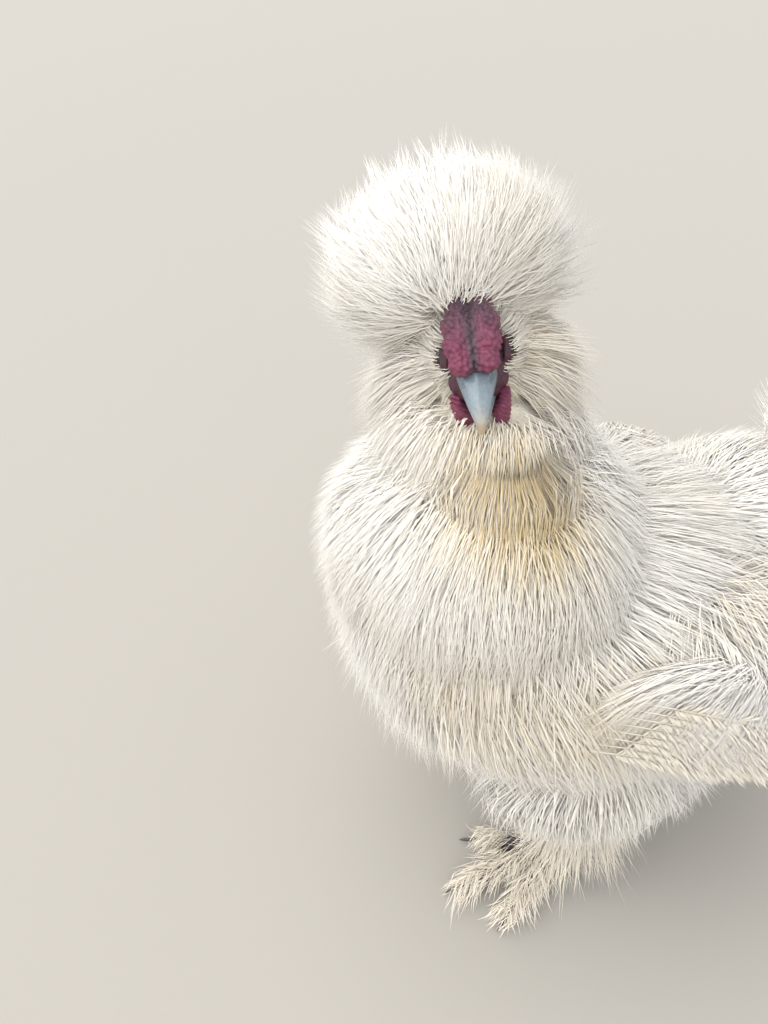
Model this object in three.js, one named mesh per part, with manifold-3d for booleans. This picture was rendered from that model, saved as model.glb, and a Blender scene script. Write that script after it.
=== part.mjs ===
// A white silkie chicken, life size, standing with its head turned to its left.
// Millimetres, +Z up. The bird faces -Y and its own left side is +X. The floor is at zero.
import * as THREE from "three";
import { mergeVertices } from "three/addons/utils/BufferGeometryUtils.js";
import Module from "manifold-3d";

const wasm = await Module();
wasm.setup();

// Driving dimensions
const gap = 0.3; // between touching pieces
const zoneReach = 1.05; // the room that a coat's tips keep from its neighbours, against its own outline
const headPlace = [-24, -33, 275]; // the middle of the skull
const headTurn = { yaw: 70, down: 6, tilt: -10 }; // degrees: to the bird's left, beak down, crown to its right
const skullRadii = [15, 20, 16];
const eyeRadius = 5.4;
const beakLength = 23;
const bodyHeight = 144; // centre of the trunk over the floor
const bodyRadii = [92, 104, 70]; // over the plumage: half width, half length, half height
const breastPlace = [-6, -34, 194];
const breastRadii = [77, 73, 56];
const hipSpread = 48; // each thigh from the middle
const footPlaces = { left: [54, -8], right: [-48, 12] };
const ankleHeight = 17;
const hockHeight = 74;
const toeRadius = 4.2;
const wingLength = 168;
const wingAngle = -26; // degrees, the tips hang lower than the shoulder

// The draw of each coat: it moves every lock a little
const draws = {
  crest: 21,
  beard: 37,
  neck: 43,
  breast: 42,
  body: 83,
  tail: 31,
  thighLeft: 45,
  thighRight: 53,
  footLeft: 21,
  footRight: 22,
};

const deg = Math.PI / 180;
const v = (x, y, z) => new THREE.Vector3(x, y, z);
const upward = v(0, 0, 1);
const bothSides = [
  ["left", 1],
  ["right", -1],
];

// Colours and finishes
const finish = (color, roughness) => new THREE.MeshStandardMaterial({ color, roughness, metalness: 0 });
const plumage = finish(0xf1ece0, 0.85);
const skin = finish(0x4a3a44, 0.6);
const combSkin = finish(0x7d3a4d, 0.65);
const horn = finish(0x8d9aa3, 0.35);
const clawHorn = finish(0x3b3d42, 0.4);
const lobeSkin = finish(0x5f9fa6, 0.55);
const eyeBlack = finish(0x17100d, 0.08);

// Faces that lie back to back, a fold without thickness, go in pairs
function withoutFolds(index) {
  const kept = new Map();
  for (let i = 0; i < index.length; i += 3) {
    const face = [index[i], index[i + 1], index[i + 2]];
    if (new Set(face).size < 3) continue;
    const first = face.indexOf(Math.min(...face));
    const [a, b, c] = [0, 1, 2].map((k) => face[(first + k) % 3]);
    const opposite = kept.get([a, c, b].join());
    if (opposite?.length) opposite.pop();
    else kept.set([a, b, c].join(), [...(kept.get([a, b, c].join()) ?? []), face]);
  }
  return [...kept.values()].flat(2);
}

// A solid from a closed geometry, and back
const nearness = 1e-4; // vertices nearer than this are one
function solid(geometry, apart = nearness) {
  const bare = geometry.clone();
  bare.deleteAttribute("normal");
  bare.deleteAttribute("uv");
  const merged = mergeVertices(bare, apart);
  return new wasm.Manifold(
    new wasm.Mesh({
      numProp: 3,
      vertProperties: new Float32Array(merged.getAttribute("position").array),
      triVerts: new Uint32Array(withoutFolds(merged.index.array)),
    }),
  );
}

function closedSurface(positions, index) {
  const geometry = new THREE.BufferGeometry();
  geometry.setAttribute("position", new THREE.Float32BufferAttribute(positions, 3));
  geometry.setIndex(index);
  return solid(geometry);
}

function geometryOf(made) {
  const mesh = made.getMesh();
  const geometry = new THREE.BufferGeometry();
  geometry.setAttribute("position", new THREE.BufferAttribute(new Float32Array(mesh.vertProperties), 3));
  geometry.setIndex(new THREE.BufferAttribute(new Uint32Array(mesh.triVerts), 1));
  geometry.computeVertexNormals();
  return geometry;
}

const largest = (made) => made.decompose().sort((a, b) => b.volume() - a.volume())[0];
const cutBy = (made, cutters) => largest(cutters.reduce((left, cutter) => left.subtract(cutter), made));

// Vertices that a cut leaves very close together become one, on two grids half a step apart
const finest = 0.05;
function tidied(made) {
  let result = made;
  for (const shift of [0, finest / 2]) {
    const geometry = geometryOf(result).translate(shift, shift, shift);
    result = largest(solid(geometry, finest)).translate([-shift, -shift, -shift]);
  }
  return result;
}

// Two sheets of a surface that touch along an edge are drawn apart there, each into its own side
const drawnApart = 0.06;
function partedSheets(made) {
  const geometry = geometryOf(made);
  const at = geometry.getAttribute("position");
  const normal = geometry.getAttribute("normal");
  const place = (i) => [at.getX(i), at.getY(i), at.getZ(i)].map((x) => Math.round(x / finest)).join();
  const copies = new Map();
  for (let i = 0; i < at.count; i++) copies.set(place(i), (copies.get(place(i)) ?? 0) + 1);
  const pinched = Array.from({ length: at.count }, (_, i) => i).filter((i) => copies.get(place(i)) > 1);
  for (const i of pinched) {
    const p = v(at.getX(i), at.getY(i), at.getZ(i));
    p.addScaledVector(v(normal.getX(i), normal.getY(i), normal.getZ(i)), -drawnApart);
    at.setXYZ(i, p.x, p.y, p.z);
  }
  return geometry;
}

function joined(pieces) {
  let list = pieces;
  while (list.length > 1) {
    const next = [];
    for (let i = 0; i < list.length; i += 2) next.push(i + 1 < list.length ? list[i].add(list[i + 1]) : list[i]);
    list = next;
  }
  return largest(list[0]);
}

// The same row of draws from the same seed
function seeded(seed) {
  let state = seed >>> 0;
  return () => {
    state = (state + 0x6d2b79f5) >>> 0;
    let n = Math.imul(state ^ (state >>> 15), 1 | state);
    n = (n + Math.imul(n ^ (n >>> 7), 61 | n)) ^ n;
    return ((n ^ (n >>> 14)) >>> 0) / 4294967296;
  };
}

// A rounded mass: an ellipsoid with soft bulges. t is the angle from the pole that its feathers leave,
// phi goes round that pole, and depth is 1 on the outline that the tips reach.
function massPoint({ centre, radii, pole = upward, bulges = [] }, t, phi, depth, grow = 0) {
  const turn = new THREE.Quaternion().setFromUnitVectors(upward, pole.clone().normalize());
  const d = v(Math.sin(t) * Math.cos(phi), Math.sin(t) * Math.sin(phi), Math.cos(t)).applyQuaternion(turn);
  let swell = depth;
  for (const { at, amount, spread } of bulges) {
    swell += depth * amount * Math.exp(-((d.angleTo(at) / (spread * deg)) ** 2));
  }
  return v(
    centre[0] + d.x * (radii[0] * swell + grow),
    centre[1] + d.y * (radii[1] * swell + grow),
    centre[2] + d.z * (radii[2] * swell + grow),
  );
}

function massSolid(shape, columns, rows, grow = 0, depth = 1) {
  const ball = new THREE.SphereGeometry(1, columns, rows);
  const at = ball.getAttribute("position");
  for (let i = 0; i < at.count; i++) {
    const t = Math.acos(THREE.MathUtils.clamp(at.getY(i), -1, 1));
    const p = massPoint(shape, t, Math.atan2(-at.getZ(i), at.getX(i)), depth, grow);
    at.setXYZ(i, p.x, p.y, p.z);
  }
  return solid(ball);
}

const massDepth = ({ centre, radii }, p) =>
  Math.hypot((p.x - centre[0]) / radii[0], (p.y - centre[1]) / radii[1], (p.z - centre[2]) / radii[2]);

// A round-sectioned limb through stations [x, y, z, half width, half height]
function limb(stations, sides, grow = 0) {
  const positions = [];
  const index = [];
  const places = stations.map((s) => v(s[0], s[1], s[2]));
  places.forEach((place, i) => {
    const along = places[Math.min(i + 1, places.length - 1)].clone().sub(places[Math.max(i - 1, 0)]).normalize();
    const side = v(1, 0, 0).sub(along.clone().multiplyScalar(along.x)).normalize();
    const over = along.clone().cross(side);
    for (let k = 0; k < sides; k++) {
      const a = (2 * Math.PI * k) / sides;
      const p = place
        .clone()
        .addScaledVector(side, (stations[i][3] + grow) * Math.cos(a))
        .addScaledVector(over, (stations[i][4] + grow) * Math.sin(a));
      positions.push(p.x, p.y, p.z);
    }
  });
  const last = places.length - 1;
  for (let i = 0; i < last; i++) {
    for (let k = 0; k < sides; k++) {
      const [a, b] = [i * sides + k, i * sides + ((k + 1) % sides)];
      index.push(a, b, a + sides, b, b + sides, a + sides);
    }
  }
  [0, last].forEach((i) => {
    const centre = positions.length / 3;
    positions.push(places[i].x, places[i].y, places[i].z);
    for (let k = 0; k < sides; k++) {
      const [a, b] = [i * sides + k, i * sides + ((k + 1) % sides)];
      if (i === 0) index.push(centre, b, a);
      else index.push(centre, a, b);
    }
  });
  return closedSurface(positions, index);
}

// One lock or vane along a path. path(s) gives a point and the way its upper face looks, s from root to tip.
// The section is a flat triangle with its crown up, or for a vane a flat diamond with its shaft in the middle.
const lockRings = [
  [0, 0.55],
  [0.34, 1],
  [0.74, 0.72],
];
const vaneRings = [
  [0, 0.5],
  [0.45, 1],
  [0.86, 0.8],
];

function strand(path, { width, thick, vane = false }, grow = 0) {
  const rings = vane ? vaneRings : lockRings;
  const section = vane
    ? [
        [-1, 0],
        [0, -0.5],
        [1, 0],
        [0, 0.5],
      ]
    : [
        [-1, -0.4],
        [1, -0.4],
        [0, 0.6],
      ];
  const count = section.length;
  const positions = [];
  const index = [];
  const spread = 4.4 * grow; // how far a flat edge moves out when its faces move by grow
  const frame = (s) => {
    const { at, face } = path(s);
    const along = path(Math.min(s + 0.04, 1)).at.clone().sub(path(Math.max(s - 0.04, 0)).at).normalize();
    const side = along.clone().cross(face).normalize();
    return { at, along, side, over: side.clone().cross(along) };
  };
  rings.forEach(([s, share], i) => {
    const { at, along, side, over } = frame(s);
    for (const [across, height] of section) {
      const p = at
        .clone()
        .addScaledVector(side, across * (share * width * 0.5 + spread))
        .addScaledVector(over, height * thick * share + Math.sign(height) * 1.2 * grow)
        .addScaledVector(along, i === 0 ? -grow : 0);
      positions.push(p.x, p.y, p.z);
    }
  });
  const end = frame(1);
  const tip = end.at.clone().addScaledVector(end.along, 1.5 * spread);
  positions.push(tip.x, tip.y, tip.z);
  for (let i = 0; i + 1 < rings.length; i++) {
    for (let k = 0; k < count; k++) {
      const [a, b] = [i * count + k, i * count + ((k + 1) % count)];
      if (vane && k % 2 === 1) index.push(a, b, a + count, b, b + count, a + count);
      else index.push(a, b, b + count, a, b + count, a + count);
    }
  }
  const last = (rings.length - 1) * count;
  for (let k = 0; k < count; k++) index.push(last + k, last + ((k + 1) % count), rings.length * count);
  for (let k = 1; k + 1 < count; k++) index.push(0, k + 1, k);
  return closedSurface(positions, index);
}

// A point inside a neighbour's outline is pushed out to lie over it, more so towards the lock's tip
const overHeight = 1.05;
function lieOver(at, below, s) {
  const depth = massDepth(below, at);
  if (depth > overHeight || depth < 0.6) return;
  const centre = v(...below.centre);
  const share = THREE.MathUtils.smoothstep(s, 0.1, 0.4);
  at.sub(centre).multiplyScalar(1 + (overHeight / depth - 1) * share).add(centre);
}

// The paths of the locks that cover a mass, in tiers from its pole, each leaving the core and
// lying back until its tip is on the outline
function coatPaths({ shape, core, tiers, sweep, seed, clear = () => true, over = [] }) {
  const draw = seeded(seed);
  const wobble = (amount) => (draw() - 0.5) * 2 * amount;
  const paths = [];
  tiers.forEach(([start, around], tier) => {
    for (let k = 0; k < around; k++) {
      const t0 = start * deg + wobble(0.05);
      const phi0 = ((k + (tier % 2) / 2) / around) * 2 * Math.PI + wobble(0.9 / around);
      const turn = wobble(0.12);
      const length = sweep * deg * (1 + wobble(0.16));
      const tipDepth = 1 + wobble(0.025);
      const path = (s) => {
        const t = Math.min(t0 + length * s, Math.PI - 0.03);
        const depth = core - 0.1 + (tipDepth - core + 0.1) * Math.sin((s * Math.PI) / 2) ** 0.9;
        const at = massPoint(shape, t, phi0 + turn * s, depth);
        for (const below of over) lieOver(at, below, s);
        const { centre, radii } = shape;
        const face = v(
          (at.x - centre[0]) / radii[0] ** 2,
          (at.y - centre[1]) / radii[1] ** 2,
          (at.z - centre[2]) / radii[2] ** 2,
        ).normalize();
        return { at, face };
      };
      if (clear(path(0.5).at, path(1).at)) paths.push(path);
    }
  });
  return paths;
}

function coat(spec, grow = 0) {
  const { shape, core, columns = 18, rows = 12 } = spec;
  const pieces = coatPaths(spec).map((path) => strand(path, spec.lock, grow));
  return [massSolid(shape, columns, rows, grow, core), ...pieces];
}

// The head, in its own frame: the origin is in the skull between the eyes, -Y is forward
const skull = { centre: [0, 2, 0], radii: skullRadii };
const face = { centre: [0, -12, -3], radii: [10.5, 12, 10.5] };
const eyePlace = (side) => v(side * 11.4, -7, 2.5);
const eyeBall = (side, grow = 0) =>
  massSolid({ centre: eyePlace(side).toArray(), radii: [eyeRadius, eyeRadius, eyeRadius] }, 10, 8, grow);

function lidRing(side, grow = 0) {
  const ring = new THREE.TorusGeometry(eyeRadius * 0.98, 1.5 + grow, 5, 10);
  ring.rotateY(Math.PI / 2);
  ring.translate(eyePlace(side).x + side * 1.6, eyePlace(side).y, eyePlace(side).z);
  return solid(ring);
}

const headFlesh = (grow = 0) =>
  joined([massSolid(skull, 12, 8, grow), massSolid(face, 10, 8, grow), lidRing(1, grow), lidRing(-1, grow)]);

const beakTop = (grow = 0) =>
  limb(
    [
      [0, -16, 0, 8.2, 6.2],
      [0, -21, -0.2, 7.6, 5.8],
      [0, -27, -1.4, 6.0, 4.9],
      [0, -33, -3.6, 4.2, 3.7],
      [0, -38, -6.8, 2.3, 2.5],
      [0, -17 - beakLength, -10.4, 0.6, 0.8],
    ],
    10,
    grow,
  );
const beakBottom = (grow = 0) =>
  limb(
    [
      [0, -15, -8.4, 7.2, 3.0],
      [0, -22, -8.6, 6.0, 2.7],
      [0, -29, -9.0, 4.2, 2.2],
      [0, -35, -10.2, 1.8, 1.3],
    ],
    10,
    grow,
  );
const nostril = (side) => massSolid({ centre: [side * 6.6, -23.5, 1.4], radii: [1.2, 2.6, 1.0] }, 8, 6);

// The comb: a pebbled walnut pad with a groove down its middle, bulbs on both sides of it,
// and a small point at its top right
const combShape = { centre: [0, -10.5, 12.5], radii: [9.6, 15.0, 7.6] };
const combRows = [
  [-11, 5.2, 4.4],
  [-4.5, 5.8, 5.4],
  [2.5, 5.6, 5.6],
  [9, 4.4, 4.8],
];
function combPad(grow = 0) {
  const pieces = [massSolid({ ...combShape, centre: [0, 0, 0] }, 12, 8, grow)];
  for (const [along, apart, size] of combRows) {
    for (const side of [-1, 1]) {
      const bulb = { centre: [side * apart * 0.9, along, 3.4], radii: [size, size * 1.1, size] };
      pieces.push(massSolid(bulb, 6, 4, grow));
    }
  }
  pieces.push(massSolid({ centre: [0, 14, 1.5], radii: [4, 4.2, 4.4] }, 6, 5, grow));
  pieces.push(massSolid({ centre: [-6.5, 14.5, 1], radii: [1.9, 4.2, 2] }, 6, 5, grow));
  return joined(pieces).rotate([38, 0, 0]).translate(combShape.centre);
}

// Wattles: small, rounded, with a fold down the middle
const wattle = (side, grow = 0) =>
  joined(
    [-1.7, 1.7].map((fold) =>
      limb(
        [
          [side * 8.2, -19 + fold * 0.5, -9.5, 2.0, 2.2],
          [side * 9.2, -20.5 + fold, -13, 2.6, 3.2],
          [side * 9.8, -21.3 + fold * 1.2, -17, 3.2, 3.6],
          [side * 10.0, -21.5 + fold, -21, 2.6, 2.8],
          [side * 10.0, -21.2 + fold * 0.6, -23.5, 1.0, 1.2],
        ],
        6,
        grow,
      ),
    ),
  );
const earlobe = (side, grow = 0) => massSolid({ centre: [side * 14.2, 5, -5], radii: [2.4, 4.2, 5.2] }, 8, 6, grow);

// The face stays open: this is the room in front of comb, eyes and beak that the plumage leaves
const faceHollow = joined([
  limb(
    [
      [0, 13, 7, 13, 17],
      [0, -8, 17, 14, 18],
      [0, -70, 48, 26, 30],
    ],
    10,
  ),
  limb(
    [
      [0, -2, -5, 14, 18],
      [0, -24, -9, 16, 19],
      [0, -80, -22, 28, 28],
    ],
    10,
  ),
]);

const headMatrix = new THREE.Matrix4()
  .makeRotationFromEuler(new THREE.Euler(headTurn.down * deg, headTurn.tilt * deg, headTurn.yaw * deg, "ZXY"))
  .setPosition(...headPlace);
const inBody = (made) => made.transform(headMatrix.toArray());
const fromBody = headMatrix.clone().invert();

// The flesh of the neck, which comes up to the skull inside the plumage
const throatLine = [
  [-18, -24, 205, 24, 26],
  [-20, -27, 235, 18, 20],
  [-25, -33, 272, 13, 14],
];
const throat = (grow = 0) => limb(throatLine, 10, grow);
const toHead = (made) => made.transform(headMatrix.clone().invert().toArray());

// The plumage of the head
const crestShape = { centre: [-3, 22, 22], radii: [53, 40, 40], pole: v(0, -0.75, -0.66) };
const beardShape = { centre: [-1, 8, -13], radii: [45, 36, 32], pole: v(0, -0.9, 0.43) };
const crestCoat = {
  shape: crestShape,
  core: 0.58,
  sweep: 30,
  seed: draws.crest,
  lock: { width: 17, thick: 4 },
  columns: 14,
  rows: 10,
  tiers: [
    [40, 8],
    [64, 10],
    [90, 10],
    [116, 8],
    [142, 4],
  ],
};
const beardCoat = {
  shape: beardShape,
  core: 0.62,
  sweep: 34,
  seed: draws.beard,
  lock: { width: 17, thick: 3.4 },
  columns: 12,
  rows: 8,
  clear: (middle, tip) => massDepth(crestShape, middle) > 0.98 && massDepth(crestShape, tip) > 1.06,
  tiers: [
    [44, 8],
    [74, 9],
    [104, 8],
  ],
};

// The plumage of the body
const bodyShape = {
  centre: [0, 4, bodyHeight],
  radii: bodyRadii,
  pole: v(0, -0.6, 0.8),
  bulges: [
    { at: v(0, 0.85, 0.55).normalize(), amount: 0.12, spread: 40 },
    { at: v(0, -0.9, 0.4).normalize(), amount: 0.05, spread: 45 },
  ],
};
const breastShape = { centre: breastPlace, radii: breastRadii, pole: v(0.05, 0.1, 1) };
const neckShape = { centre: [-20, -30, 230], radii: [44, 47, 46], pole: v(0, 0, 1) };
const tailShape = { centre: [0, 156, 206], radii: [46, 52, 40], pole: v(0, -0.95, -0.3) };
const thighShape = (side) => ({ centre: [side * hipSpread, 10, 87], radii: [43, 68, 37], pole: v(0, -0.3, 0.95) });

const bodyCoat = {
  shape: bodyShape,
  core: 0.8,
  sweep: 36,
  seed: draws.body,
  lock: { width: 29, thick: 6 },
  columns: 18,
  rows: 12,
  over: [breastShape],
  tiers: [
    [34, 8],
    [60, 9],
    [86, 11],
    [112, 9],
    [136, 5],
  ],
};
const breastCoat = {
  shape: breastShape,
  core: 0.8,
  sweep: 38,
  seed: draws.breast,
  lock: { width: 26, thick: 5.5 },
  columns: 16,
  rows: 10,
  over: [bodyShape],
  tiers: [
    [46, 8],
    [76, 9],
    [104, 8],
  ],
};
const neckCoat = {
  shape: neckShape,
  core: 0.72,
  sweep: 42,
  seed: draws.neck,
  lock: { width: 20, thick: 4 },
  columns: 12,
  rows: 8,
  tiers: [
    [46, 8],
    [72, 10],
    [98, 9],
  ],
};
const thighCoat = (side) => ({
  shape: thighShape(side),
  core: 0.72,
  sweep: 40,
  seed: side > 0 ? draws.thighLeft : draws.thighRight,
  lock: { width: 22, thick: 4.6 },
  columns: 12,
  rows: 8,
  tiers: [
    [66, 6],
    [94, 7],
    [122, 4],
  ],
});

// The tail: two tiers of soft vanes that fan out, under a cushion of locks
const tailCoat = {
  shape: tailShape,
  core: 0.58,
  sweep: 44,
  seed: draws.tail,
  lock: { width: 22, thick: 4.4 },
  columns: 12,
  rows: 8,
  tiers: [
    [40, 5],
    [68, 6],
  ],
};
const tailFan = [
  { count: 4, width: 19, spread: 54, rise: 22, length: 92, depth: -6 },
  { count: 3, width: 19, spread: 34, rise: 44, length: 84, depth: 8 },
];
function tailVanes(grow) {
  const [x, y, z] = tailShape.centre;
  return tailFan.flatMap(({ count, width, spread, rise, length, depth }) =>
    Array.from({ length: count }, (_, k) => {
      const share = k / (count - 1) - 0.5;
      const across = 2 * share * spread * deg;
      const up = rise * deg * (1 - 1.1 * Math.abs(share));
      const heading = v(Math.sin(across) * Math.cos(up), Math.cos(across) * Math.cos(up), Math.sin(up));
      const face = v(share * 2.4, -0.35, 1).normalize();
      const root = v(x + share * 40, y - 34, z - 8 + depth - Math.abs(share) * 12);
      const path = (s) => ({
        at: root
          .clone()
          .addScaledVector(heading, length * s)
          .addScaledVector(upward, 8 * Math.sin(Math.PI * s) - 10 * s * s),
        face,
      });
      return strand(path, { width, thick: 1.8, vane: true }, grow);
    }),
  );
}

// A wing, folded against the side: one smooth form out to the tips of its coverts and flights
const wingPlace = (side) => [side * 81, 42, 146];
const wingShape = { centre: [0, 0, 0], radii: [16, wingLength / 2, 32], pole: v(0, -1, 0) };
const wing = (side, grow = 0) =>
  massSolid(wingShape, 14, 12, grow).rotate([wingAngle, 0, 0]).translate(wingPlace(side));

// Legs: the shank with its feathers is one smooth form that widens outwards to the foot, and the
// outer toes carry their own feathers
function shank(side, grow = 0) {
  const [x, y] = side > 0 ? footPlaces.left : footPlaces.right;
  return limb(
    [
      [side * hipSpread, y + 22, hockHeight, 10, 10],
      [side * (hipSpread + 3) + (x - side * hipSpread) * 0.5, y + 12, 46, 13, 12],
      [x + side * 6, y + 3, 24, 18, 15],
      [x + side * 7, y + 1, ankleHeight, 19, 16],
    ],
    12,
    grow,
  );
}

// Toes: name, degrees from straight ahead towards the outside, length, feathers on it
const toes = [
  ["inner", -26, 40, 0],
  ["middle", 2, 50, 1],
  ["outer", 32, 42, 1],
  ["hind", 196, 22, 0],
  ["fifth", 226, 24, 0],
];

function toeLine(side, angle, length, rise) {
  const [x, y] = side > 0 ? footPlaces.left : footPlaces.right;
  const a = angle * deg;
  return (share, height) => [
    x + side * Math.sin(a) * length * share,
    y - Math.cos(a) * length * share,
    height + rise * share * share,
  ];
}

const toeRise = (angle) => (angle > 210 ? 9 : 0);

function toe(side, [, angle, length], grow = 0) {
  const at = toeLine(side, angle, length, toeRise(angle));
  return limb(
    [
      [...at(-0.02, 11), toeRadius * 1.1, toeRadius],
      [...at(0.3, 4.4), toeRadius, toeRadius],
      [...at(0.62, 3.6), toeRadius * 0.95, toeRadius],
      [...at(0.86, 3.2), toeRadius * 0.8, toeRadius * 0.85],
      [...at(1, 3), toeRadius * 0.45, toeRadius * 0.5],
    ],
    6,
    grow,
  );
}

function toeLocks(side, [, angle, length, count], grow = 0) {
  const at = toeLine(side, angle, length, 0);
  const draw = seeded((side > 0 ? draws.footLeft : draws.footRight) + angle);
  return Array.from({ length: count }, (_, k) => {
    const heading = (angle + 28 + 16 * k + 5 * draw()) * deg;
    const out = v(side * Math.sin(heading), -Math.cos(heading), 0);
    const root = v(...at(0.8 - 0.3 * k, 5));
    const path = (s) => ({
      at: root
        .clone()
        .addScaledVector(out, 27 * s)
        .addScaledVector(upward, 5 * Math.sin(Math.PI * s) - 2.6 * s),
      face: upward,
    });
    return strand(path, { width: 9, thick: 2 }, grow);
  });
}

function claw(side, [, angle, length], grow = 0) {
  const at = toeLine(side, angle, length, toeRise(angle));
  return limb(
    [
      [...at(0.93, 3.4), 1.9, 1.9],
      [...at(1.08, 3.6), 1.6, 1.8],
      [...at(1.2, 2.4), 0.9, 1.1],
      [...at(1.3, 0.8), 0.3, 0.3],
    ],
    5,
    grow,
  );
}

const floorCut = solid(new THREE.BoxGeometry(600, 600, 100).translate(0, 0, -50));

function foot(side) {
  const [x, y] = side > 0 ? footPlaces.left : footPlaces.right;
  const pad = massSolid({ centre: [x, y, 9], radii: [9, 9, 9.5] }, 10, 6);
  const made = joined([pad, ...toes.flatMap((t) => [toe(side, t), ...toeLocks(side, t)])]);
  return cutBy(made, [floorCut, shank(side, gap), ...toes.map((t) => claw(side, t, gap))]);
}

// The named nodes. What lies over a neighbour keeps its form, and the neighbour is cut clear of it.
const bird = new THREE.Group();
const headGroup = new THREE.Group();
headGroup.applyMatrix4(headMatrix);
bird.add(headGroup);

function node(group, name, made, material) {
  const mesh = new THREE.Mesh(partedSheets(tidied(made)), material);
  mesh.name = name;
  group.add(mesh);
}

const eyes = bothSides.map(([, side]) => eyeBall(side, gap));
const lobes = bothSides.map(([, side]) => earlobe(side, gap));
const beaks = [beakTop(gap), beakBottom(gap)];
const faceParts = [headFlesh(gap), ...eyes, ...lobes, toHead(throat(gap)), faceHollow];
const zone = (shape) => massSolid(shape, 16, 10, 0, zoneReach);
const crestZone = zone(crestShape);
const beardZone = zone(beardShape);
node(headGroup, "head", cutBy(headFlesh(), [...eyes, ...beaks]), skin);
node(headGroup, "beak_upper", cutBy(beakTop(), [nostril(1), nostril(-1)]), horn);
node(headGroup, "beak_lower", cutBy(beakBottom(), [beakTop(gap)]), horn);
node(headGroup, "comb", cutBy(combPad(), [headFlesh(gap), beakTop(gap)]), combSkin);
for (const [word, side] of bothSides) {
  node(headGroup, "eye_" + word, eyeBall(side), eyeBlack);
  node(headGroup, "wattle_" + word, cutBy(wattle(side), [...beaks, headFlesh(gap)]), combSkin);
  node(headGroup, "earlobe_" + word, cutBy(earlobe(side), [headFlesh(gap)]), lobeSkin);
}
node(headGroup, "crest", cutBy(joined(coat(crestCoat)), faceParts), plumage);
node(headGroup, "beard", cutBy(joined(coat(beardCoat)), [...faceParts, crestZone]), plumage);

const headPlumage = [crestZone, beardZone, faceHollow].map(inBody);
const inHead = (p) => massDepth(beardShape, p.clone().applyMatrix4(fromBody)) < 0.9;
const neckSpec = { ...neckCoat, clear: (middle, tip) => !inHead(tip) };
const neckPlumage = cutBy(joined(coat(neckSpec)), headPlumage);
node(bird, "neck", cutBy(neckPlumage.add(throat()), [headFlesh(gap), ...lobes].map(inBody)), plumage);
const neckZone = zone(neckShape);

const wings = bothSides.map(([, side]) => wing(side, gap));
const nearNeck = (p) => massDepth(neckShape, p) < 0.85 || inHead(p);
const inWingFrame = (p, side) =>
  p
    .clone()
    .sub(v(...wingPlace(side)))
    .applyAxisAngle(v(1, 0, 0), -wingAngle * deg);
const nearWing = (p) => bothSides.some(([, side]) => massDepth(wingShape, inWingFrame(p, side)) < 1.15);
const nearThigh = (p) => bothSides.some(([, side]) => massDepth(thighShape(side), p) < 0.9);
const bodySpec = {
  ...bodyCoat,
  clear: (middle, tip) =>
    !(massDepth(breastShape, middle) < 0.96 || nearNeck(middle) || nearWing(middle) || nearWing(tip)) &&
    massDepth(tailShape, middle) > 0.8 &&
    !(nearThigh(middle) && nearThigh(tip)),
};
const breastSpec = {
  ...breastCoat,
  clear: (middle, tip) => !(massDepth(bodyShape, middle) < 0.96 || nearNeck(middle) || nearWing(tip)),
};
const torsoForm = (grow = 0) => joined([...coat(bodySpec, grow), ...coat(breastSpec, grow)]);
node(bird, "torso", cutBy(torsoForm(), [neckZone, throat(gap), ...wings, ...headPlumage]), plumage);
const torsoCutter = torsoForm(gap);
const tailSpec = { ...tailCoat, clear: (middle, tip) => massDepth(bodyShape, tip) > 1.1 };
node(bird, "tail", cutBy(joined([...coat(tailSpec), ...tailVanes(0)]), [torsoCutter]), plumage);
bothSides.forEach(([word, side], i) => {
  const thighSpec = {
    ...thighCoat(side),
    clear: (middle, tip) => massDepth(bodyShape, tip) > 0.95 && tip.x * side > 6 && tip.z < 110,
  };
  node(bird, "wing_" + word, wing(side), plumage);
  const thighCutters = [torsoCutter, wings[i], shank(side, gap)];
  node(bird, "thigh_" + word, cutBy(joined(coat(thighSpec)), thighCutters), plumage);
  node(bird, "shank_" + word, shank(side), plumage);
  node(bird, "foot_" + word, foot(side), skin);
  toes.forEach((t) => node(bird, "claw_" + t[0] + "_" + word, cutBy(claw(side, t), [floorCut]), clawHorn));
});

// The origin goes on the floor at the middle of the outline seen from above
bird.updateMatrixWorld(true);
const outline = new THREE.Box3().setFromObject(bird, true);
bird.position.set(-(outline.min.x + outline.max.x) / 2, -(outline.min.y + outline.max.y) / 2, 0);

export default bird;
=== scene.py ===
import math
import bpy
import numpy as np
from mathutils import Matrix, Vector


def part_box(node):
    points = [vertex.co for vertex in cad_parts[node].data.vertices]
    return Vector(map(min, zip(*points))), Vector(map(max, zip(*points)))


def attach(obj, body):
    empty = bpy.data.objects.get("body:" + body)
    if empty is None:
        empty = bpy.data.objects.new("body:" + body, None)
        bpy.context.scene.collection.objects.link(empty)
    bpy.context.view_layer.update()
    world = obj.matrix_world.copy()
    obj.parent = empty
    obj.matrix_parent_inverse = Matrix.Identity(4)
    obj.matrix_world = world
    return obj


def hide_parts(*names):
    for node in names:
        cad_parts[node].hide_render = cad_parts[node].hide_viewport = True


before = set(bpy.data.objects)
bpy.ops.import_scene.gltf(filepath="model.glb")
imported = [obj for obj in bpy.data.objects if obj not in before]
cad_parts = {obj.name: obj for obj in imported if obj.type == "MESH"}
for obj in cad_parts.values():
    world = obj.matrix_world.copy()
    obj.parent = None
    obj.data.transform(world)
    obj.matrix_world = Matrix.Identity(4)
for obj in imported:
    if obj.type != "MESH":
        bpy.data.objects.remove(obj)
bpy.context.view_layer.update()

# A white silkie hen, life size, standing. Its measures are millimetres in the
# bird's own frame: it faces -Y, its left is +X and the floor is at zero.
mm = 0.001
deg = math.pi / 180
up = Vector((0, 0, 1))
sides = {"left": 1, "right": -1}

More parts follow.
